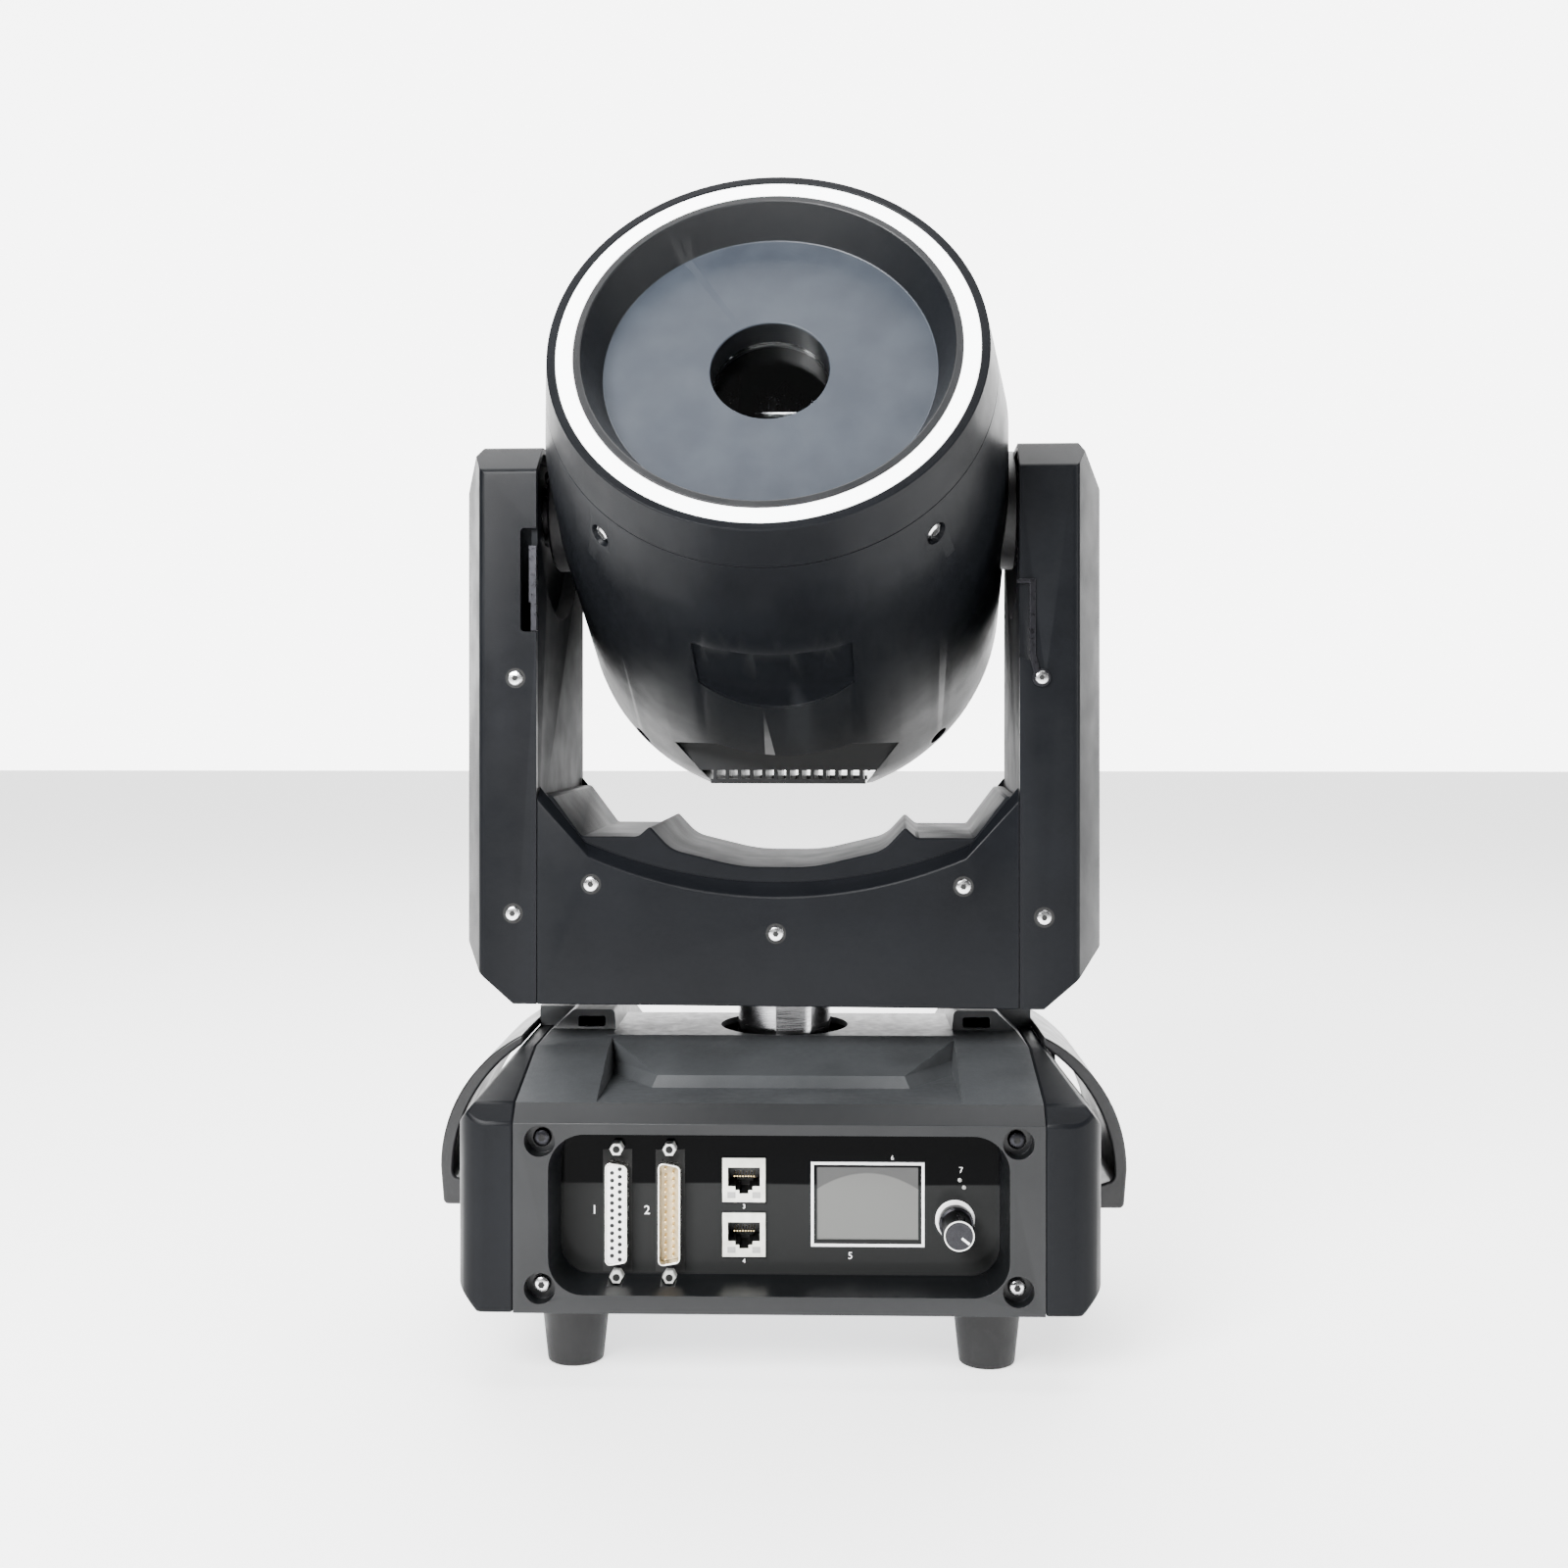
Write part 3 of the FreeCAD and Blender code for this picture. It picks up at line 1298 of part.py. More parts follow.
def head_vent():
    """Finned air outlet in the duct at the head's lower back, drawn as it lies at rest."""
    pitch = 2 * (vent_low_half - 2) / (fin_count - 1)
    slope = (vent_top_half - vent_low_half) / (vent_top_z - vent_cut_z)
    duct_half = vent_low_half + slope * (vent_duct_z - vent_cut_z) - touch
    top_half = vent_top_half - slope * touch
    bar = [(-duct_half, vent_duct_z), (duct_half, vent_duct_z), (top_half, vent_top_z - touch),
           (-top_half, vent_top_z - touch)]
    bars = [prism(bar, "xz", y, y + 2) for y in (vent_front_y, vent_back_y - 2)]
    fins = []
    for index in range(fin_count):
        x = -(vent_low_half - 2) + index * pitch
        fins.append(prism(rect(x - fin_thickness / 2, vent_cut_z + 0.3, x + fin_thickness / 2, vent_top_z - touch),
                          "xz", vent_front_y, vent_back_y))
    sill = rect(-vent_low_half + touch, vent_cut_z + 0.3, vent_low_half - touch, vent_cut_z + 0.3 + vent_sill)
    sills = [prism(sill, "xz", y, y + 2) for y in (vent_front_y, vent_back_y - 2)]
    return join(*bars, *sills, *fins)


def head_fan():
    """Square fan frame above the outlet, as it lies at rest."""
    half = fan_size / 2
    fan_z = vent_top_z - touch
    frame = prism(rect(-half, fan_y - half, half, fan_y + half, 4), "xy", fan_z, fan_z + fan_depth)
    well = rod("z", 0, fan_y, fan_z - 1, fan_z + fan_depth + 1, half - 1.5)
    spokes = [prism(rect(-half + 1, fan_y - 1, half - 1, fan_y + 1), "xy", fan_z + fan_depth - 1.5, fan_z + fan_depth)]
    spokes.append(prism(rect(-1, fan_y - half + 1, 1, fan_y + half - 1), "xy", fan_z + fan_depth - 1.5,
                        fan_z + fan_depth))
    return join(frame.cut(well), *spokes)


def fan_rotor():
    """Hub with seven pitched blades."""
    low = vent_top_z + 0.6
    high = vent_top_z - touch + fan_depth - 1.8
    hub = rod("z", 0, fan_y, low, high, 10)
    blade = prism([(8, -1.2), (21.5, -5), (22, 4), (8, 3)], "xy", low + 1.5, low + 2.9)
    blades = []
    for index in range(7):
        turn = FreeCAD.Rotation(vec(0, 0, 1), index * 360 / 7)
        copy = blade.rotated(vec(15, 0, low + 2.2), vec(1, 0, 0), 24)
        copy.Placement = FreeCAD.Placement(vec(0, fan_y, 0), turn).multiply(copy.Placement)
        blades.append(copy)
    return join(hub, *blades)


def at_rest_pan(shape):
    """Turn a yoke or head shape about the pan axis to where it stands at rest."""
    return moved(shape, FreeCAD.Placement(vec(0, 0, 0), FreeCAD.Rotation(vec(0, 0, 1), rest_pan)))


base_parts = {
    "feet": feet,
    "base_pan": base_pan,
    "spindle_carrier": spindle_carrier,
    "spindle": spindle,
    "base_top_cover": base_top_cover,
    "base_front_frame": base_front_frame,
    "base_rear_frame": base_rear_frame,
    "base_side_left": base_side_left,
    "base_side_right": base_side_right,
    "side_handles": side_handles,
    "control_panel": control_panel,
    "display_module": display_module,
    "dsub_shells": dsub_shells,
    "dsub_inserts": dsub_inserts,
    "network_jacks": network_jacks,
    "menu_encoder": menu_encoder,
    "menu_shaft": menu_shaft,
    "menu_knob": menu_knob,
    "rear_panel": rear_panel,
    "power_inlet": power_inlet,
    "xlr_sockets": xlr_sockets,
    "power_supply": power_supply,
    "main_board": main_board,
    "ring_pulley": ring_pulley,
}

panned_parts = {
    "pan_motor_pulley": pan_motor_pulley,
    "tilt_motor_pulley": tilt_motor_pulley,
    "drive_belts": drive_belts,
    "stepper_motors": stepper_motors,
    "yoke_base_plate": yoke_base_plate,
    "bearings": bearings,
    "arm_frames": arm_frames,
    "arm_shell_left": arm_shell_left,
    "arm_shell_right": arm_shell_right,
    "arm_panel_left": arm_panel_left,
    "arm_panel_right": arm_panel_right,
    "yoke_front_cover": yoke_front_cover,
    "yoke_rear_cover": yoke_rear_cover,
    "yoke_saddle": yoke_saddle,
    "tilt_lock": tilt_lock,
    "lock_lever": lock_lever,
    "head_shell_upper": head_shell_upper,
    "head_shell_lower": head_shell_lower,
    "head_front_collar": head_front_collar,
    "halo_diffuser": halo_diffuser,
    "front_cup": front_cup,
    "aperture_window": aperture_window,
    "trunnions": trunnions,
    "tilt_pulley": tilt_pulley,
    "head_chassis": head_chassis,
    "laser_module": laser_module,
    "galvo_block": galvo_block,
    "galvo_mirror_x": galvo_mirror_x,
    "galvo_mirror_y": galvo_mirror_y,
    "head_vent": head_vent,
    "head_fan": head_fan,
    "fan_rotor": fan_rotor,
}

os.makedirs("parts", exist_ok=True)
for name, make in base_parts.items():
    make().exportStep(f"parts/{name}.step")
for name, make in panned_parts.items():
    at_rest_pan(make()).exportStep(f"parts/{name}.step")
print(len(base_parts) + len(panned_parts), "parts written")
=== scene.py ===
import bpy
import bmesh
import json
import math
from mathutils import Matrix, Vector


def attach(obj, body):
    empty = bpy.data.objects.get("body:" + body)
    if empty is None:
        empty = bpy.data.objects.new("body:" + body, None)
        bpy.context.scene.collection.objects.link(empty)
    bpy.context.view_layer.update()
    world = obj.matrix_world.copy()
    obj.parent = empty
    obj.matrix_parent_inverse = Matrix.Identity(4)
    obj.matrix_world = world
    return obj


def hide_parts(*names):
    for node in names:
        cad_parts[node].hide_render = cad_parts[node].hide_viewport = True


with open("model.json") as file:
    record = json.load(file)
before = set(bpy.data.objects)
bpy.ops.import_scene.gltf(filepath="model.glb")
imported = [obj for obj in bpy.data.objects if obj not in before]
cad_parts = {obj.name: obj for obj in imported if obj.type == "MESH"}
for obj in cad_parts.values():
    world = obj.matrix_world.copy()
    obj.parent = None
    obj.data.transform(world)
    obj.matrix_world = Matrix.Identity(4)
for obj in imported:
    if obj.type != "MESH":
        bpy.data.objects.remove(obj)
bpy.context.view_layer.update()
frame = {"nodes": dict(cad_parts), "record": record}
MM = 0.001

# Places on the part, in millimetres in the row frame
TILT_Z = 326.0
ELEVATION = math.radians(27.5)
REST_PAN = math.radians(-2.4)
PANEL_Y = -75.0
DSUB_OUT_X = -60.0
DSUB_IN_X = -40.5
DSUB_Z = 59.7
NETWORK_X = -13.2
NETWORK_Z = (51.2, 71.4)
DISPLAY = (32.4, 62.4)
KNOB = (64.6, 57.0)
KNOB_TIP_Y = -95.5
PLATE_T = 93.0
YOKE_FACE = 50.6
FRAME_SCREW_Y = 88.0
FRAME_SCREW_X = (-85.8, 85.8)
FRAME_SCREW_LOW_Z = 37.0
FRAME_SCREW_HIGH_Z = 89.9
LEVER_SCREW = (101.0, 257.0)
SHELL_SCREW_ANGLES = (45, 135, 225, 315)
SHELL_SCREW_T = (76.0, -77.0)
SHELL_SCREW_SEAT = 80.0
HUB_FACE_X = 94.4
DSUB_COLUMN = 1.42
DSUB_PITCH = 2.76
DSUB_FACE_Y = PANEL_Y - 5.5
JACK_SCREW_Z = 23.52
NETWORK_CONTACT_PITCH = 1.02
REAR_FACE_Y = 77.0
REAR_SOCKET_Z = 62.0
INLET_X = 52.0
REAR_SOCKET_X = (-8.0, -50.0)

slots = {row["node"]: row["material_slot"] for row in frame["record"]["subparts"]}
bodies = {node: body for body, nodes in frame["record"]["behaviour"]["bodies"].items() for node in nodes}


# Materials

class Shader:
    """Wires up one node material from procedural patterns in object coordinates."""

    def __init__(self, name):
        self.material = bpy.data.materials.new(name)
        self.material.use_nodes = True
        self.nodes = self.material.node_tree.nodes
        self.links = self.material.node_tree.links
        self.main = self.nodes["Principled BSDF"]
        self.coords = self.nodes.new("ShaderNodeTexCoord").outputs["Object"]

    def set(self, **values):
        for socket, value in values.items():
            self.main.inputs[socket.replace("_", " ")].default_value = value
        return self

    def link(self, source, target):
        self.links.new(source, target)

    def noise(self, scale, detail=2.0, rough=0.5, coords=None):
        node = self.nodes.new("ShaderNodeTexNoise")
        node.inputs["Scale"].default_value = scale
        node.inputs["Detail"].default_value = detail
        node.inputs["Roughness"].default_value = rough
        self.link(coords or self.coords, node.inputs["Vector"])
        return node.outputs["Fac"]

    def span(self, value, low, high, out_low=0.0, out_high=1.0):
        node = self.nodes.new("ShaderNodeMapRange")
        node.inputs["From Min"].default_value = low
        node.inputs["From Max"].default_value = high
        node.inputs["To Min"].default_value = out_low
        node.inputs["To Max"].default_value = out_high
        self.link(value, node.inputs["Value"])
        return node.outputs["Result"]

    def place(self, axis):
        """One object coordinate in metres: 0, 1 or 2 for X, Y or Z."""
        node = self.nodes.new("ShaderNodeSeparateXYZ")
        self.link(self.coords, node.inputs["Vector"])
        return node.outputs[axis]

    def along(self, direction):
        """Distance in metres from the origin along a direction."""
        node = self.nodes.new("ShaderNodeVectorMath")
        node.operation = "DOT_PRODUCT"
        self.link(self.coords, node.inputs[0])
        node.inputs[1].default_value = tuple(direction)
        return node.outputs["Value"]

    def stretched(self, x, y, z):
        node = self.nodes.new("ShaderNodeMapping")
        node.inputs["Scale"].default_value = (x, y, z)
        self.link(self.coords, node.inputs["Vector"])
        return node.outputs["Vector"]

    def mix(self, factor, first, second):
        node = self.nodes.new("ShaderNodeMix")
        node.data_type = "RGBA"
        self.feed(factor, node.inputs["Factor"])
        self.feed(first, node.inputs[6])
        self.feed(second, node.inputs[7])
        return node.outputs[2]

    def maths(self, operation, first, second=0.0):
        node = self.nodes.new("ShaderNodeMath")
        node.operation = operation
        self.feed(first, node.inputs[0])
        self.feed(second, node.inputs[1])
        return node.outputs[0]

    def feed(self, value, socket):
        if isinstance(value, bpy.types.NodeSocket):
            self.link(value, socket)
        elif isinstance(value, tuple) and len(value) == 3:
            socket.default_value = (*value, 1.0)
        else:
            socket.default_value = value

    def edges(self):
        """Mask for the lighter edges, partly scuffing and partly painted highlight: 1 on the sharpest outer
        edges.
        """
        point = self.nodes.new("ShaderNodeNewGeometry").outputs["Pointiness"]
        return self.span(point, 0.53, 0.62)

    def bump(self, height, strength, distance):
        node = self.nodes.new("ShaderNodeBump")
        node.inputs["Strength"].default_value = strength
        node.inputs["Distance"].default_value = distance
        self.link(height, node.inputs["Height"])
        self.link(node.outputs["Normal"], self.main.inputs["Normal"])
        return self

    def color(self, value):
        self.feed(value, self.main.inputs["Base Color"])
        return self

    def rough(self, value):
        self.feed(value, self.main.inputs["Roughness"])
        return self


def textured_plastic(name, tone, roughness, gloss):
    """Moulded plastic with a fine spark-eroded grain, faint mottling and lighter edges, partly scuffing and
    partly painted highlight.
    """
    grain = 2600.0
    scuff_and_highlight_strength = 0.5
    s = Shader(name)
    mottle = s.noise(22.0, 4.0)
    light = tuple(c * 1.35 for c in tone)
    base = s.mix(s.span(mottle, 0.35, 0.65), tone, light)
    # Lighter sharp edges: partly scuffing from use, partly a painted highlight along the edges.
    scuffed_and_highlight_tone = tuple(min(1.0, c * 2.2 + 0.01) for c in tone)
    scuff_and_highlight_mask = s.maths("MULTIPLY", s.edges(), scuff_and_highlight_strength)
    s.color(s.mix(scuff_and_highlight_mask, base, scuffed_and_highlight_tone))
    s.rough(s.span(s.noise(60.0, 3.0), 0.3, 0.7, roughness - 0.05, roughness + 0.06))
    s.bump(s.noise(grain, 3.0, 0.6), 0.16, 0.0002)
    return s.set(Specular_IOR_Level=gloss)


def powder_coat(name, tone, roughness):
    """Painted sheet with a slight orange-peel surface."""
    s = Shader(name)
    s.color(s.mix(s.span(s.noise(30.0, 3.0), 0.4, 0.6), tone, tuple(c * 1.3 for c in tone)))
    s.rough(s.span(s.noise(300.0), 0.3, 0.7, roughness - 0.05, roughness + 0.05))
    return s.bump(s.noise(1500.0, 2.0), 0.12, 0.0003)


def rubber(name, tone, roughness):
    """Soft black rubber with dust in patches."""
    s = Shader(name)
    dust = s.span(s.noise(45.0, 5.0, 0.7), 0.55, 0.8, 0.0, 0.35)
    s.color(s.mix(dust, tone, (0.035, 0.035, 0.036)))
    s.set(Specular_IOR_Level=0.3)
    s.rough(s.span(s.noise(90.0), 0.3, 0.7, roughness - 0.06, roughness + 0.08))
    return s.bump(s.noise(1300.0, 3.0), 0.2, 0.0003)


def metal(name, tone, roughness, brush=(1.0, 1.0, 1.0), scratches=0.12):
    """Metal with fine tool marks that run along the shortest scale of brush."""
    s = Shader(name)
    s.set(Metallic=1.0)
    fine = s.noise(900.0, 4.0, 0.6, s.stretched(*brush))
    s.color(s.mix(s.span(fine, 0.3, 0.7), tuple(c * 0.86 for c in tone), tone))
    marks = s.noise(500.0, 3.0, 0.5, s.stretched(*brush))
    s.rough(s.span(marks, 0.3, 0.7, roughness - 0.06, roughness + 0.08))
    return s.bump(fine, scratches, 0.0001)


def plain(name, tone, roughness, metallic=0.0, grain=700.0, strength=0.05):
    """Smooth surface with faint changes in tone and roughness."""
    s = Shader(name)
    s.set(Metallic=metallic)
    s.color(s.mix(s.span(s.noise(80.0, 3.0), 0.35, 0.65), tone, tuple(min(1.0, c * 1.12) for c in tone)))
    s.rough(s.span(s.noise(200.0), 0.3, 0.7, max(0.02, roughness - 0.03), roughness + 0.04))
    return s.bump(s.noise(grain), strength, 0.0001)


def clear_glass():
    """Thin clear window of the aperture."""
    s = Shader("coated_glass")
    s.set(Transmission_Weight=1.0, IOR=1.45, Coat_Weight=0.2)
    s.color(s.mix(s.span(s.noise(30.0, 3.0), 0.4, 0.7), (0.95, 0.97, 0.98), (0.92, 0.95, 0.97)))
    return s.rough(s.span(s.noise(40.0, 2.0), 0.4, 0.7, 0.0, 0.015))


def halo_white():
    """Lit white diffuser of the ring round the head."""
    s = Shader("halo_white")
    s.color(s.mix(s.span(s.noise(40.0), 0.3, 0.7), (0.93, 0.94, 0.95), (0.98, 0.98, 0.98)))
    s.set(Emission_Color=(1.0, 1.0, 1.0, 1.0), Emission_Strength=5.0, Subsurface_Weight=0.1)
    return s.rough(0.32).bump(s.noise(900.0), 0.04, 0.0001)


def cup_black():
    """Black drafted wall of the dish with the slate-grey finish of its flat plate."""
    s = Shader("dish_finish")
    level = math.cos(ELEVATION)
    forward = Vector((level * math.sin(REST_PAN), -level * math.cos(REST_PAN), math.sin(ELEVATION)))
    depth = s.maths("SUBTRACT", s.along(forward), TILT_Z * MM * forward.z)
    flat = s.span(depth, (PLATE_T + 0.12) * MM, (PLATE_T + 0.3) * MM, 1.0, 0.0)
    front = s.span(depth, (PLATE_T - 1.0) * MM, (PLATE_T - 0.5) * MM)
    slate = s.mix(s.span(s.noise(60.0, 4.0), 0.35, 0.65), (0.023, 0.028, 0.037), (0.03, 0.036, 0.046))
    s.color(s.mix(s.maths("MULTIPLY", flat, front), (0.0035, 0.004, 0.005), slate))
    s.set(Specular_IOR_Level=0.3)
    s.rough(s.span(s.noise(90.0, 3.0), 0.3, 0.7, 0.36, 0.46))
    return s.bump(s.noise(3400.0, 3.0, 0.6), 0.2, 0.0002)


def gloss_panel_painted_reflection():
    """Gloss black front sheet with a painted reflection that makes its lower part lighter."""
    s = Shader("gloss_panel_painted_reflection")
    # Painted reflection: below a slightly wavy line the sheet takes a lighter colour than above it.
    reflection_wobble = s.maths("MULTIPLY", s.noise(14.0, 1.0), 0.0015)
    height = s.maths("ADD", s.place(2), reflection_wobble)
    tone = s.mix(s.span(height, 0.0702, 0.0708), (0.015, 0.0155, 0.0155), (0.0007, 0.0008, 0.001))
    s.color(tone)
    s.set(Specular_IOR_Level=0.03)
    s.rough(s.span(s.noise(70.0, 4.0), 0.4, 0.8, 0.08, 0.14))
    return s.bump(s.noise(120.0), 0.01, 0.0001)


def screen_painted_reflection():
    """Grey display glass with a painted reflection: lighter below a curved line and lightest towards the
    bottom.
    """
    s = Shader("screen_painted_reflection")
    side = s.maths("SUBTRACT", s.place(0), DISPLAY[0] * MM)
    # Painted reflection: below a curved line the glass turns a lighter grey, lightest at the bottom; above
    # it the glass stays dark.
    reflection_curve = s.maths("MULTIPLY", s.maths("MULTIPLY", side, side), 17.0)
    height = s.maths("ADD", s.place(2), reflection_curve)
    lit = s.span(height, 0.0735, 0.0741, 1.0, 0.0)
    reflection_fade = s.span(s.place(2), 0.05, 0.074)
    grey = s.mix(reflection_fade, (0.085, 0.087, 0.082), (0.07, 0.071, 0.067))
    s.color(s.mix(lit, (0.02, 0.0205, 0.02), grey))
    s.rough(s.span(s.noise(50.0), 0.3, 0.7, 0.12, 0.2))
    return s.bump(s.noise(400.0), 0.01, 0.0001)


def insert_plastic():
    """Contact blocks: white on the socket side, tan on the pin side."""
    s = Shader("insert_plastic")
    side = s.span(s.place(0), -0.0505, -0.0495)
    tint = s.mix(side, (0.9, 0.9, 0.88), (0.62, 0.5, 0.3))
    shaded = s.mix(side, (0.84, 0.84, 0.82), (0.54, 0.43, 0.25))
    s.color(s.mix(s.span(s.noise(300.0, 3.0), 0.4, 0.7), tint, shaded))
    return s.rough(s.span(s.noise(200.0), 0.3, 0.7, 0.3, 0.4)).bump(s.noise(900.0), 0.05, 0.0001)


def jack_shell():
    """Pale plated shell of the network jacks with a black lining."""
    s = Shader("jack_shell")
    front = s.span(s.place(1), -0.07605, -0.07595, 1.0, 0.0)
    plate = s.mix(s.span(s.noise(260.0, 4.0), 0.35, 0.65), (0.62, 0.62, 0.55), (0.8, 0.8, 0.74))
    s.color(s.mix(front, (0.004, 0.004, 0.004), plate))
    s.set(Specular_IOR_Level=0.6)
    return s.rough(s.span(s.noise(200.0), 0.3, 0.7, 0.28, 0.4)).bump(s.noise(800.0), 0.06, 0.0001)


BLACK = (0.0032, 0.0036, 0.0045)
looks = {
    "black_shell": textured_plastic("black_shell_grain", BLACK, 0.35, 0.08),
    "black_frame": textured_plastic("black_frame_grain", (0.0034, 0.0038, 0.0044), 0.33, 0.3),
    "black_sheet": powder_coat("black_powder_coat", (0.008, 0.008, 0.009), 0.48),
    "galvanised": metal("galvanised_sheet", (0.55, 0.56, 0.58), 0.38, (1.0, 0.3, 1.0)),
    "steel": metal("turned_steel", (0.36, 0.36, 0.37), 0.2, (0.15, 0.15, 3.0), 0.2),
    "screw": metal("steel", (0.78, 0.78, 0.79), 0.2),
    "rubber": rubber("foot_rubber", (0.0035, 0.0035, 0.0038), 0.5),
    "strap": rubber("strap_rubber", (0.009, 0.009, 0.0098), 0.34),
    "aluminium": metal("satin_aluminium", (0.7, 0.71, 0.72), 0.28),
    "black_aluminium": metal("anodised_black", (0.03, 0.03, 0.033), 0.3, (1.0, 0.05, 1.0)),
    "nickel": metal("nickel_plate", (0.8, 0.79, 0.75), 0.22),
    "insulator_black": plain("insulator_black", (0.008, 0.008, 0.009), 0.36),
    "display": plain("display_gloss", (0.01, 0.01, 0.011), 0.08),
    "halo": halo_white(),
    "window": clear_glass(),
    "mirror": plain("mirror_coat", (0.93, 0.94, 0.96), 0.03, 1.0, 400.0, 0.01),
    "board": plain("solder_mask", (0.01, 0.07, 0.03), 0.3),
    "belt": rubber("belt_rubber", (0.012, 0.012, 0.012), 0.6),
    "motor": powder_coat("motor_black", (0.01, 0.01, 0.011), 0.4),
    "fan_plastic": plain("fan_plastic", (0.008, 0.008, 0.008), 0.35),
}
dish = cup_black()
panel_face = gloss_panel_painted_reflection()
screen = screen_painted_reflection()
inserts = insert_plastic()
jack_plate = jack_shell()
ink_white = plain("ink_white", (0.9, 0.9, 0.9), 0.5)
pin_gold = metal("pin_gold", (0.86, 0.66, 0.34), 0.22)
# Near-black: the own colour of the gaskets and socket floor, and painted shade in contact openings, nut
# bores, screw recesses and the gaps round sunk screw heads.
hole_shade_and_black = plain("hole_shade_and_black", (0.0015, 0.0015, 0.0015), 0.8)
led_lens = plain("led_lens", (0.3, 0.3, 0.29), 0.15)
bright_plate = plain("bright_plate", (0.72, 0.72, 0.7), 0.3, 0.35)
# The deck's coat is a lighter grey than the other black parts: painted light standing in for the light from
# above.
deck_coat_painted_light = powder_coat("deck_powder_coat_painted_light", (0.028, 0.03, 0.032), 0.42)
inner_plastic = textured_plastic("inner_grain", BLACK, 0.58, 0.06)
# Dark metal of the lock lever and tilt lock; on the upper frame screws the same colour is painted shade.
dark_metal_and_painted_shade = metal("dark_metal_and_painted_shade", (0.03, 0.03, 0.034), 0.3)


# Pieces that take the place of the plain solids, with eased edges

def shade(mesh, angle):
    mesh.polygons.foreach_set("use_smooth", [True] * len(mesh.polygons))
    mesh.set_sharp_from_angle(angle=math.radians(angle))


def eased(node, width, look=None):
    """Copy a solid, clear its flat faces of inner edges and round its sharp edges by width."""
    sharp = 28.0
    mesh = bpy.data.meshes.new("mesh_" + node)
    work = bmesh.new()
    work.from_mesh(frame["nodes"][node].data)
    bmesh.ops.remove_doubles(work, verts=work.verts, dist=2e-6)
    bmesh.ops.dissolve_limit(work, angle_limit=math.radians(0.8), verts=work.verts, edges=work.edges)
    work.to_mesh(mesh)
    work.free()
    piece = bpy.data.objects.new("skin_" + node, mesh)
    bpy.context.scene.collection.objects.link(piece)
    shade(mesh, sharp)
    bevel = piece.modifiers.new("ease", "BEVEL")
    bevel.width = width * MM
    bevel.segments = 2
    bevel.limit_method = "ANGLE"
    bevel.angle_limit = math.radians(sharp)
    bevel.use_clamp_overlap = True
    mesh.materials.append((look or looks[slots[node]]).material)
    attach(piece, bodies[node])
    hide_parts(node)


# Bevel widths in millimetres
EASE = {
    "base_side_left": 0.9, "base_side_right": 0.9, "base_front_frame": 0.5, "base_rear_frame": 0.5,
    "base_top_cover": 0.5, "side_handles": 0.8, "arm_shell_left": 0.7, "arm_shell_right": 0.7,
    "arm_panel_left": 0.4, "arm_panel_right": 0.4, "yoke_front_cover": 0.9, "yoke_rear_cover": 0.9,
    "yoke_saddle": 0.8, "head_shell_upper": 0.25, "head_shell_lower": 0.25, "head_front_collar": 0.35,
    "halo_diffuser": 0.3, "front_cup": 0.35, "feet": 0.5, "menu_knob": 0.3, "spindle": 0.3,
    "network_jacks": 0.12, "dsub_shells": 0.1, "dsub_inserts": 0.15, "display_module": 0.15,
    "tilt_lock": 0.15, "lock_lever": 0.2, "power_inlet": 0.2, "xlr_sockets": 0.2, "head_vent": 0.15,
    "control_panel": 0.1, "rear_panel": 0.1,
}
special = {
    "control_panel": panel_face, "front_cup": dish, "dsub_inserts": inserts, "network_jacks": jack_plate,
    "display_module": screen, "galvo_block": looks["black_aluminium"], "lock_lever": dark_metal_and_painted_shade,
    "tilt_lock": dark_metal_and_painted_shade, "base_top_cover": deck_coat_painted_light, "arm_panel_left": inner_plastic,
    "arm_panel_right": inner_plastic, "yoke_saddle": inner_plastic,
}
for name, node in frame["nodes"].items():
    if name in EASE:
        eased(name, EASE[name], special.get(name))
    else:
        node.data.materials.clear()
        node.data.materials.append(special.get(name, looks[slots[name]]).material)


# Small pieces, modelled in millimetres in a local frame and carried to their place

BASE = Matrix.Identity(4)
YOKE = Matrix.Rotation(REST_PAN, 4, "Z")
HEAD = YOKE @ Matrix.Translation((0, 0, TILT_Z)) @ Matrix.Rotation(math.radians(90) - ELEVATION, 4, "X")


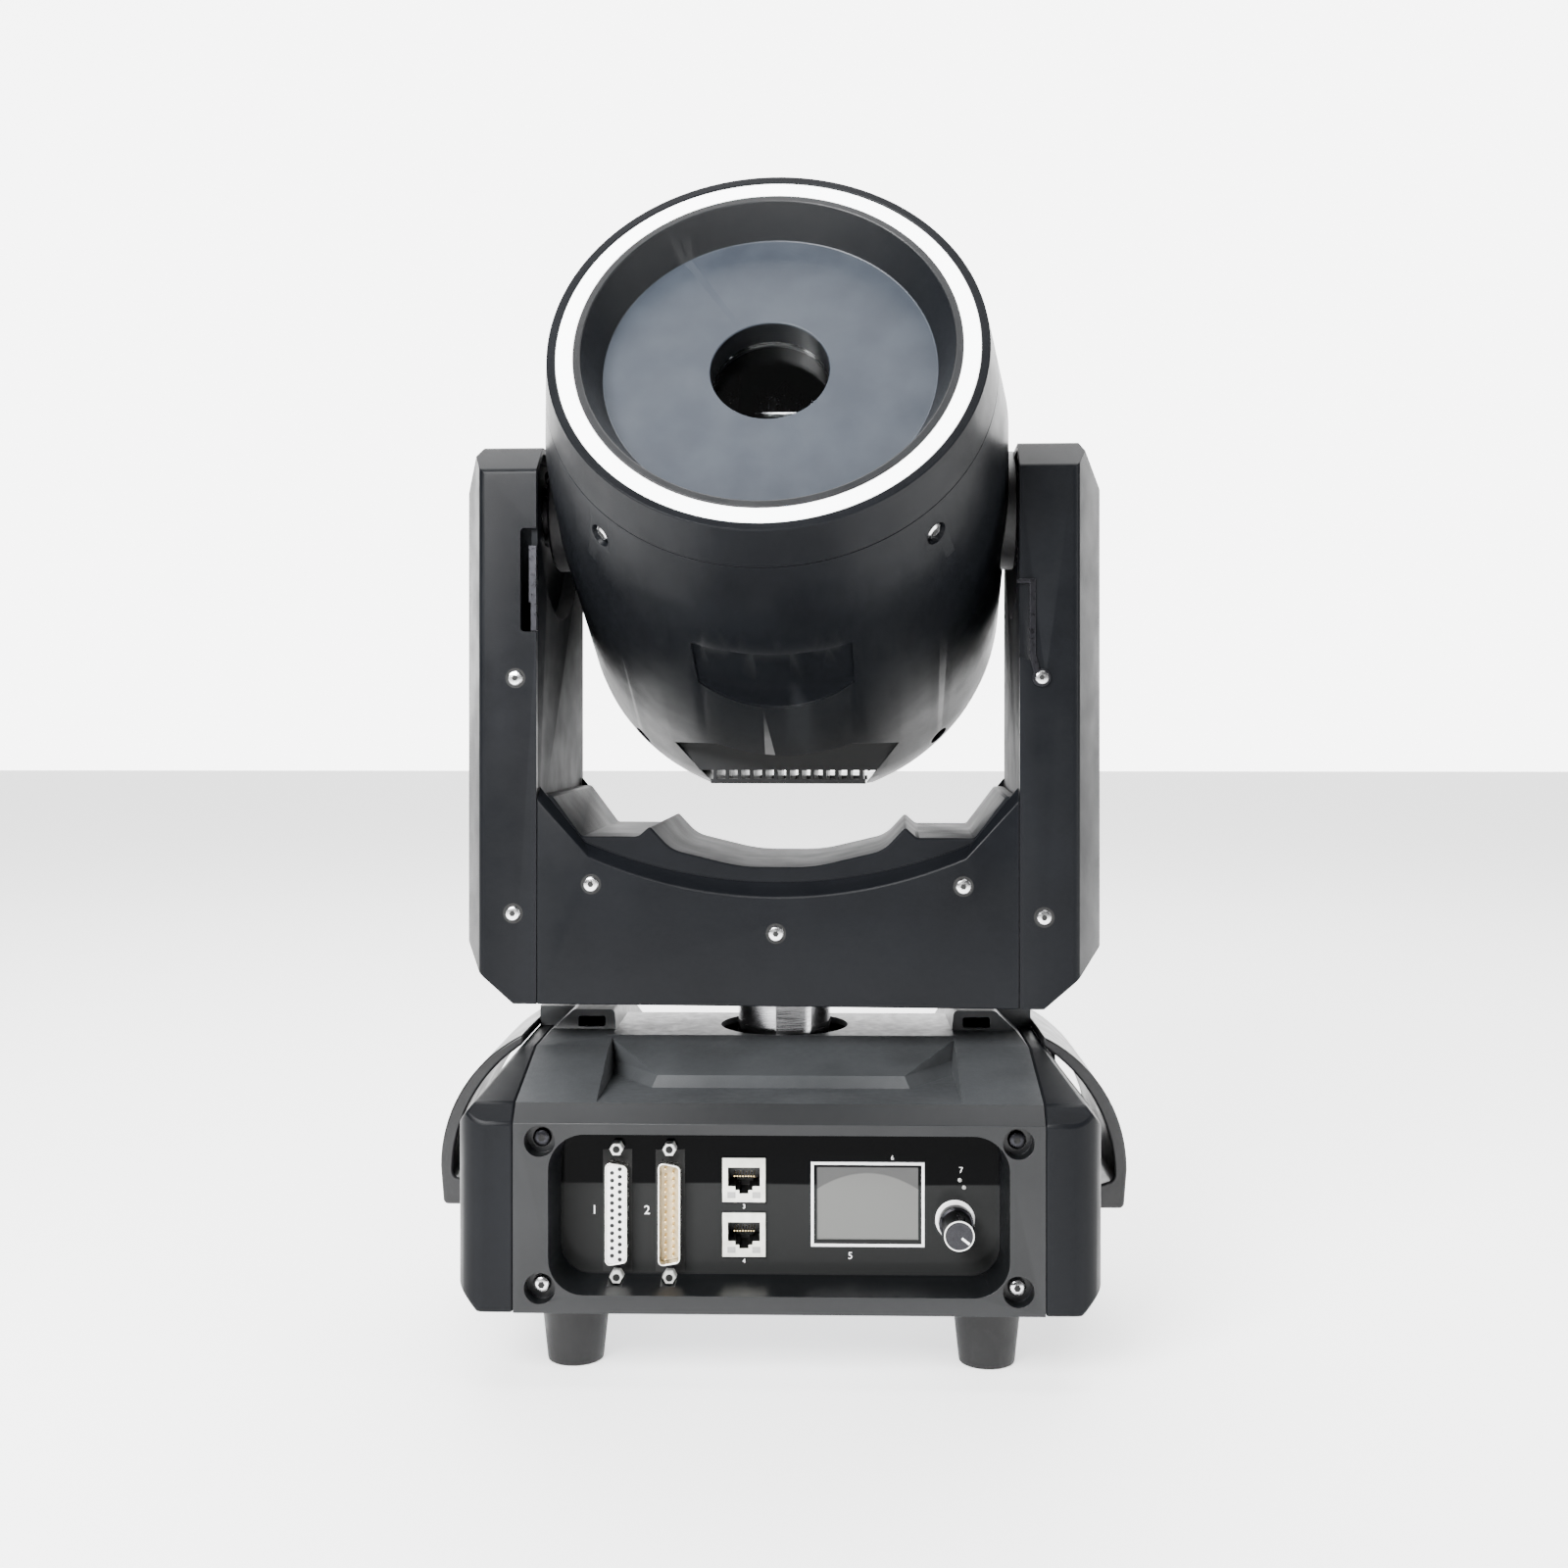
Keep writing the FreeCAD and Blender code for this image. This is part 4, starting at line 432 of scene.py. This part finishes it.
class Form:
    """Collects simple solids, in millimetres, into one mesh."""

    def __init__(self):
        self.verts = []
        self.faces = []

    def add(self, verts, faces, matrix):
        start = len(self.verts)
        self.verts += [matrix @ Vector(v) * MM for v in verts]
        self.faces += [[start + index for index in face] for face in faces]
        return self

    def lathe(self, profile, matrix, sides=24):
        """Turned body about the local Z axis from (radius, height) corners, closed at both ends."""
        verts = []
        for radius, height in profile:
            for step in range(sides):
                turn = 2 * math.pi * step / sides
                verts.append((radius * math.cos(turn), radius * math.sin(turn), height))
        faces = []
        for row in range(len(profile) - 1):
            for step in range(sides):
                after = (step + 1) % sides
                faces.append((row * sides + step, row * sides + after, (row + 1) * sides + after,
                              (row + 1) * sides + step))
        faces.append(tuple(reversed(range(sides))))
        faces.append(tuple(range((len(profile) - 1) * sides, len(profile) * sides)))
        return self.add(verts, faces, matrix)

    def box(self, low, high, matrix):
        """Block between two corners."""
        ends = list(zip(low, high))
        verts = [(x, y, z) for x in ends[0] for y in ends[1] for z in ends[2]]
        faces = [(0, 1, 3, 2), (4, 6, 7, 5), (0, 4, 5, 1), (2, 3, 7, 6), (0, 2, 6, 4), (1, 5, 7, 3)]
        return self.add(verts, faces, matrix)

    def make(self, name, look, body, angle=35):
        """Turn what was collected into one piece that rides on a body."""
        mesh = bpy.data.meshes.new("mesh_" + name)
        mesh.from_pydata(self.verts, [], self.faces)
        mesh.validate()
        work = bmesh.new()
        work.from_mesh(mesh)
        bmesh.ops.recalc_face_normals(work, faces=work.faces)
        work.to_mesh(mesh)
        work.free()
        shade(mesh, angle)
        mesh.materials.append(look.material)
        piece = bpy.data.objects.new(name, mesh)
        bpy.context.scene.collection.objects.link(piece)
        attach(piece, body)


def facing(x, y, z, rear=False):
    """Frame at a point whose local Z axis points to -Y, or to +Y at the rear."""
    turn = -90 if rear else 90
    return Matrix.Translation((x, y, z)) @ Matrix.Rotation(math.radians(turn), 4, "X")


def socket_screws(name, places, radius, height, body, sunk=None, look=None):
    """Button-head screws whose hex recesses are flat dark hexes of painted shade; sunk adds a dark ring of
    painted shade round each head.
    """
    heads = Form()
    recess_shades = Form()
    gap_shades = Form()
    for place in places:
        heads.lathe([(radius, 0.0), (radius, height * 0.45), (radius * 0.86, height * 0.85),
                     (radius * 0.62, height)], place, 28)
        # Painted shade: a flat dark hex stands for the socket recess in each head.
        recess_shades.lathe([(radius * 0.4, height * 0.6), (radius * 0.4, height + 0.04)], place, 6)
        if sunk:
            # Painted shade: a dark ring round the head stands for the gap in its well.
            gap_shades.lathe([(sunk, -0.2), (sunk, 0.1)], place, 28)
    heads.make(name, look or looks["screw"], body)
    recess_shades.make(name + "_sockets", hole_shade_and_black, body)
    if sunk:
        gap_shades.make(name + "_well_shade", hole_shade_and_black, body)


def numeral(name, text, height, matrix, body):
    """Flat white number, 0.06 mm thick, with its height in millimetres."""
    curve = bpy.data.curves.new(name, "FONT")
    curve.body = text
    curve.size = height * MM
    curve.extrude = 0.00003
    curve.align_x = "CENTER"
    curve.align_y = "CENTER"
    holder = bpy.data.objects.new(name + "_curve", curve)
    bpy.context.scene.collection.objects.link(holder)
    bpy.context.view_layer.update()
    mesh = bpy.data.meshes.new_from_object(holder)
    bpy.data.objects.remove(holder)
    placed = Matrix.Translation(matrix.translation * MM) @ matrix.to_3x3().to_4x4()
    mesh.transform(placed)
    mesh.materials.clear()
    mesh.materials.append(ink_white.material)
    piece = bpy.data.objects.new(name, mesh)
    bpy.context.scene.collection.objects.link(piece)
    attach(piece, body)


# Control panel

contact_shades = Form()
pins = Form()
for column, count in ((-DSUB_COLUMN, 12), (DSUB_COLUMN, 13)):
    for index in range(count):
        z = DSUB_Z + (index - (count - 1) / 2) * DSUB_PITCH
        # Painted shade: flat dark discs on the insert face stand for the contact openings.
        contact_shades.lathe([(0.78, 0.0), (0.78, 0.05)], facing(DSUB_OUT_X + column, DSUB_FACE_Y, z), 12)
        pins.lathe([(0.5, 0.0), (0.5, 3.4), (0.3, 3.9)], facing(DSUB_IN_X - column, PANEL_Y - 1.2, z), 12)
contact_shades.make("dsub_contact_hole_shades", hole_shade_and_black, "base")
pins.make("dsub_pins", pin_gold, "base")

nuts = Form()
nut_bore_shades = Form()
for x in (DSUB_OUT_X, DSUB_IN_X):
    for z in (DSUB_Z - JACK_SCREW_Z, DSUB_Z + JACK_SCREW_Z):
        nuts.lathe([(2.65, 0.0), (2.65, 4.0), (2.35, 4.5)], facing(x, PANEL_Y, z), 6)
        # Painted shade: a flat dark disc on each nut stands for its bore.
        nut_bore_shades.lathe([(1.35, 4.4), (1.35, 4.56)], facing(x, PANEL_Y, z), 20)
nuts.make("dsub_hex_nuts", bright_plate, "base", 20)
nut_bore_shades.make("dsub_nut_bore_shades", hole_shade_and_black, "base")

gasket = Form()
for x in (DSUB_OUT_X, DSUB_IN_X):
    gasket.box((x - 5.4, PANEL_Y - 0.15, DSUB_Z - 22.6),
               (x + 5.4, PANEL_Y + 0.05, DSUB_Z + 22.6), BASE)
gasket.make("dsub_gaskets", hole_shade_and_black, "base")

contacts = Form()
for z in NETWORK_Z:
    for index in range(8):
        x = NETWORK_X + (index - 3.5) * NETWORK_CONTACT_PITCH
        contacts.box((x - 0.2, PANEL_Y + 1.2, z + 0.6), (x + 0.2, PANEL_Y + 9.0, z + 1.0), BASE)
contacts.make("network_contacts", pin_gold, "base")
tabs = Form()
for z in NETWORK_Z:
    for x in (NETWORK_X - 4.6, NETWORK_X + 4.6):
        tabs.box((x - 1.5, PANEL_Y - 1.35, z - 6.6), (x + 1.5, PANEL_Y - 1.2, z - 4.4), BASE)
tabs.make("network_light_windows", led_lens, "base")

half_w = 20.9
half_h = 15.6
line = 1.05


def display_strips(name, look, depth, strips):
    """Thin flat strips round the display's centre, each from its low and high corner."""
    form = Form()
    for x0, z0, x1, z1 in strips:
        form.box((DISPLAY[0] + x0, PANEL_Y - depth, DISPLAY[1] + z0),
                 (DISPLAY[0] + x1, PANEL_Y + 0.02, DISPLAY[1] + z1), BASE)
    form.make(name, look, "base")


display_strips("display_outline", ink_white, 0.12, (
    (-half_w, -half_h, half_w, -half_h + line),
    (-half_w, half_h - line, half_w, half_h),
    (-half_w, -half_h + line, -half_w + line, half_h - line),
    (half_w - line, -half_h + line, half_w, half_h - line)))
display_strips("display_mask", panel_face, 0.08, (
    (-half_w + line, -half_h + line, -half_w + 2.2, half_h - line),
    (half_w - 2.2, -half_h + line, half_w - line, half_h - line),
    (-half_w + 2.2, -half_h + line, half_w - 2.2, -half_h + 2.6),
    (-half_w + 2.2, half_h - 1.9, half_w - 2.2, half_h - line)))

leds = Form()
for x, z in ((66.3, 71.6), (67.9, 68.9)):
    leds.lathe([(0.75, 0.0), (0.75, 0.25), (0.45, 0.45)], facing(x, PANEL_Y, z), 16)
leds.make("status_lights", led_lens, "base")

washer = Form()
washer.lathe([(7.3, 0.0), (7.3, 0.45), (7.0, 0.7)], facing(KNOB[0], PANEL_Y, KNOB[1]), 40)
washer.make("knob_washer", ink_white, "base")
rim = Form()
rim_sides = 48
for step in range(rim_sides):
    turns = [2 * math.pi * (step + ahead) / rim_sides for ahead in (0, 1)]
    ring = [(radius * math.cos(turn), radius * math.sin(turn), depth)
            for depth in (0.06, -0.25) for radius in (5.42, 5.0) for turn in turns]
    rim.add(ring, [(0, 1, 3, 2), (0, 4, 5, 1)], facing(KNOB[0], KNOB_TIP_Y, KNOB[1]))
rim.make("knob_bright_rim", bright_plate, "menu_knob", 60)
pointer = Form()
pointer.box((1.2, -0.4, 0.0), (4.6, 0.4, 0.1),
            facing(KNOB[0], KNOB_TIP_Y, KNOB[1]) @ Matrix.Rotation(math.radians(-38), 4, "Z"))
pointer.make("knob_pointer", ink_white, "menu_knob")

for name, text, height, x, z in (
        ("label_one", "1", 4.6, DSUB_OUT_X - 8.6, DSUB_Z), ("label_two", "2", 4.6, DSUB_IN_X - 8.6, DSUB_Z),
        ("label_three", "3", 2.3, NETWORK_X, 61.3), ("label_four", "4", 2.3, NETWORK_X, 41.2),
        ("label_five", "5", 3.6, 26.0, 43.4), ("label_six", "6", 2.3, 41.5, 79.6),
        ("label_seven", "7", 3.0, 66.8, 75.2)):
    numeral(name, text, height, facing(x, PANEL_Y - 0.02, z), "base")


# Screws

low_corners = [facing(x, -FRAME_SCREW_Y, FRAME_SCREW_LOW_Z) for x in FRAME_SCREW_X]
high_corners = [facing(x, -FRAME_SCREW_Y, FRAME_SCREW_HIGH_Z) for x in FRAME_SCREW_X]
rear_corners = [facing(x, FRAME_SCREW_Y, z, True) for x in FRAME_SCREW_X
                for z in (FRAME_SCREW_LOW_Z, FRAME_SCREW_HIGH_Z)]
socket_screws("frame_screws_low", low_corners, 3.3, 3.0, "base")
# The upper frame screws are the same as the lower ones, drawn in dark metal as painted shade in their
# wells.
socket_screws("frame_screws_high", high_corners, 3.3, 2.2, "base", look=dark_metal_and_painted_shade)
socket_screws("frame_screws_rear", rear_corners, 3.3, 3.0, "base")
deck_places = [Matrix.Translation((x, y, 102.6)) for x in (-86.0, 86.0) for y in (-66.0, 66.0)]
socket_screws("deck_screws", deck_places, 2.3, 0.9, "base", 3.3)
cover_places = []
for x, z in ((-71.5, 177.5), (71.5, 177.5), (0.0, 159.0)):
    for rear in (False, True):
        cover_places.append(YOKE @ facing(x, YOKE_FACE if rear else -YOKE_FACE, z, rear))
socket_screws("cover_screws", cover_places, 3.0, 1.3, "yoke", 3.9)
arm_places = []
for x, z in (LEVER_SCREW, (102.0, 166.0)):
    for side in (-1, 1):
        for rear in (False, True):
            if (x, side, rear) != (LEVER_SCREW[0], 1, False):
                arm_places.append(YOKE @ facing(side * x, YOKE_FACE if rear else -YOKE_FACE, z, rear))
socket_screws("arm_screws", arm_places, 2.9, 1.3, "yoke", 3.9)
lever_place = YOKE @ facing(LEVER_SCREW[0], -51.9, LEVER_SCREW[1])
socket_screws("lever_screw", [lever_place], 2.6, 1.1, "lock_lever")

shell_places = []
for t in SHELL_SCREW_T:
    for angle in SHELL_SCREW_ANGLES:
        spin = Matrix.Rotation(math.radians(angle), 4, "Z") @ Matrix.Translation((SHELL_SCREW_SEAT, 0, t))
        shell_places.append(HEAD @ spin @ Matrix.Rotation(math.radians(90), 4, "Y"))
socket_screws("shell_screws", shell_places, 3.9, 4.8, "head")

hubs = Form()
hub_screws = []
for side in (-1, 1):
    out = Matrix.Rotation(math.radians(90 * side), 4, "Y")
    hubs.lathe([(24.0, 84.0), (24.0, 93.2), (22.5, HUB_FACE_X), (12.0, HUB_FACE_X)], HEAD @ out, 48)
    for angle in (20, 110, 200, 290):
        ring = Matrix.Rotation(math.radians(angle), 4, "Z") @ Matrix.Translation((18.0, 0, HUB_FACE_X))
        hub_screws.append(HEAD @ out @ ring)
hubs.make("hub_flanges", looks["black_sheet"], "head")
socket_screws("hub_screws", hub_screws, 3.0, 2.6, "head")


# Rear panel

blades = Form()
for dx, dz in ((-7, -2), (0, 2), (7, -2)):
    x = INLET_X + dx
    z = REAR_SOCKET_Z + dz
    blades.box((x - 1.08, 57.0, z - 2.08), (x + 1.08, 73.1, z + 2.08), BASE)
blades.make("mains_blades", looks["nickel"], "base")
lining = Form()
lining.lathe([(9.5, 0.0), (9.5, 0.4)], facing(REAR_SOCKET_X[0], 63.0, REAR_SOCKET_Z, True), 36)
lining.make("socket_lining", hole_shade_and_black, "base")
plate_screws = [facing(x + dx, REAR_FACE_Y, REAR_SOCKET_Z + dz, True)
                for x in REAR_SOCKET_X for dx, dz in ((-10.0, 12.5), (10.0, -12.5))]
plate_screws += [facing(x, REAR_FACE_Y, REAR_SOCKET_Z, True) for x in (31.5, 72.5)]
socket_screws("socket_screws", plate_screws, 1.7, 0.8, "base")
for name, text, x in (("label_eight", "8", INLET_X), ("label_nine", "9", -29.0)):
    numeral(name, text, 4.0, facing(x, REAR_FACE_Y + 0.03, 82.0, True), "base")


# Camera, light and floor

def area_light(name, place, target, size, power, tall=None):
    """Soft rectangular light, in metres and watts, that points at a target."""
    light = bpy.data.lights.new(name, "AREA")
    light.shape = "RECTANGLE"
    light.size = size
    light.size_y = tall or size
    light.energy = power
    lamp = bpy.data.objects.new(name, light)
    lamp.location = place
    lamp.rotation_euler = (Vector(target) - Vector(place)).to_track_quat("-Z", "Y").to_euler()
    bpy.context.scene.collection.objects.link(lamp)


floor_mesh = bpy.data.meshes.new("floor")
floor_mesh.from_pydata([(-6, -6, 0), (6, -6, 0), (6, 6, 0), (-6, 6, 0)], [], [(0, 1, 2, 3)])
floor = bpy.data.objects.new("floor", floor_mesh)
bpy.context.scene.collection.objects.link(floor)
floor_look = Shader("floor_white")
floor_look.color((0.94, 0.94, 0.94)).rough(0.6)
floor_look.set(Emission_Color=(1.0, 1.0, 1.0, 1.0), Emission_Strength=1.2)
floor_mesh.materials.append(floor_look.material)

# The surroundings are bright behind the part and dim on the other sides
world = bpy.data.worlds.new("studio")
bpy.context.scene.world = world
world.use_nodes = True
sky = world.node_tree.nodes
background = sky["Background"]
axes = sky.new("ShaderNodeSeparateXYZ")
reach = sky.new("ShaderNodeMapRange")
reach.interpolation_type = "SMOOTHSTEP"
reach.inputs["From Min"].default_value = 0.45
reach.inputs["From Max"].default_value = 0.9
reach.inputs["To Min"].default_value = 0.07
reach.inputs["To Max"].default_value = 7.0
coords = sky.new("ShaderNodeTexCoord")
world.node_tree.links.new(coords.outputs["Generated"], axes.inputs["Vector"])
world.node_tree.links.new(axes.outputs["Y"], reach.inputs["Value"])
world.node_tree.links.new(reach.outputs["Result"], background.inputs["Strength"])
background.inputs["Color"].default_value = (1.0, 1.0, 1.0, 1.0)

area_light("key_left", (-0.52, -1.0, 0.8), (0, 0, 0.34), 0.6, 56.0, 0.5)
area_light("key_right", (1.15, -0.5, 0.5), (0, 0, 0.15), 0.4, 9.0, 1.0)
area_light("top", (0.0, 0.3, 1.6), (0, 0.1, 0.0), 1.6, 70.0)

camera_data = bpy.data.cameras.new("camera")
camera_data.lens = 40.5
camera_data.sensor_width = 36.0
camera_data.shift_y = -0.0494
camera = bpy.data.objects.new("camera", camera_data)
camera.location = (0.0169, -0.726, 0.246)
camera.rotation_euler = (math.radians(90), 0, math.radians(1.35))
bpy.context.scene.collection.objects.link(camera)
bpy.context.scene.camera = camera
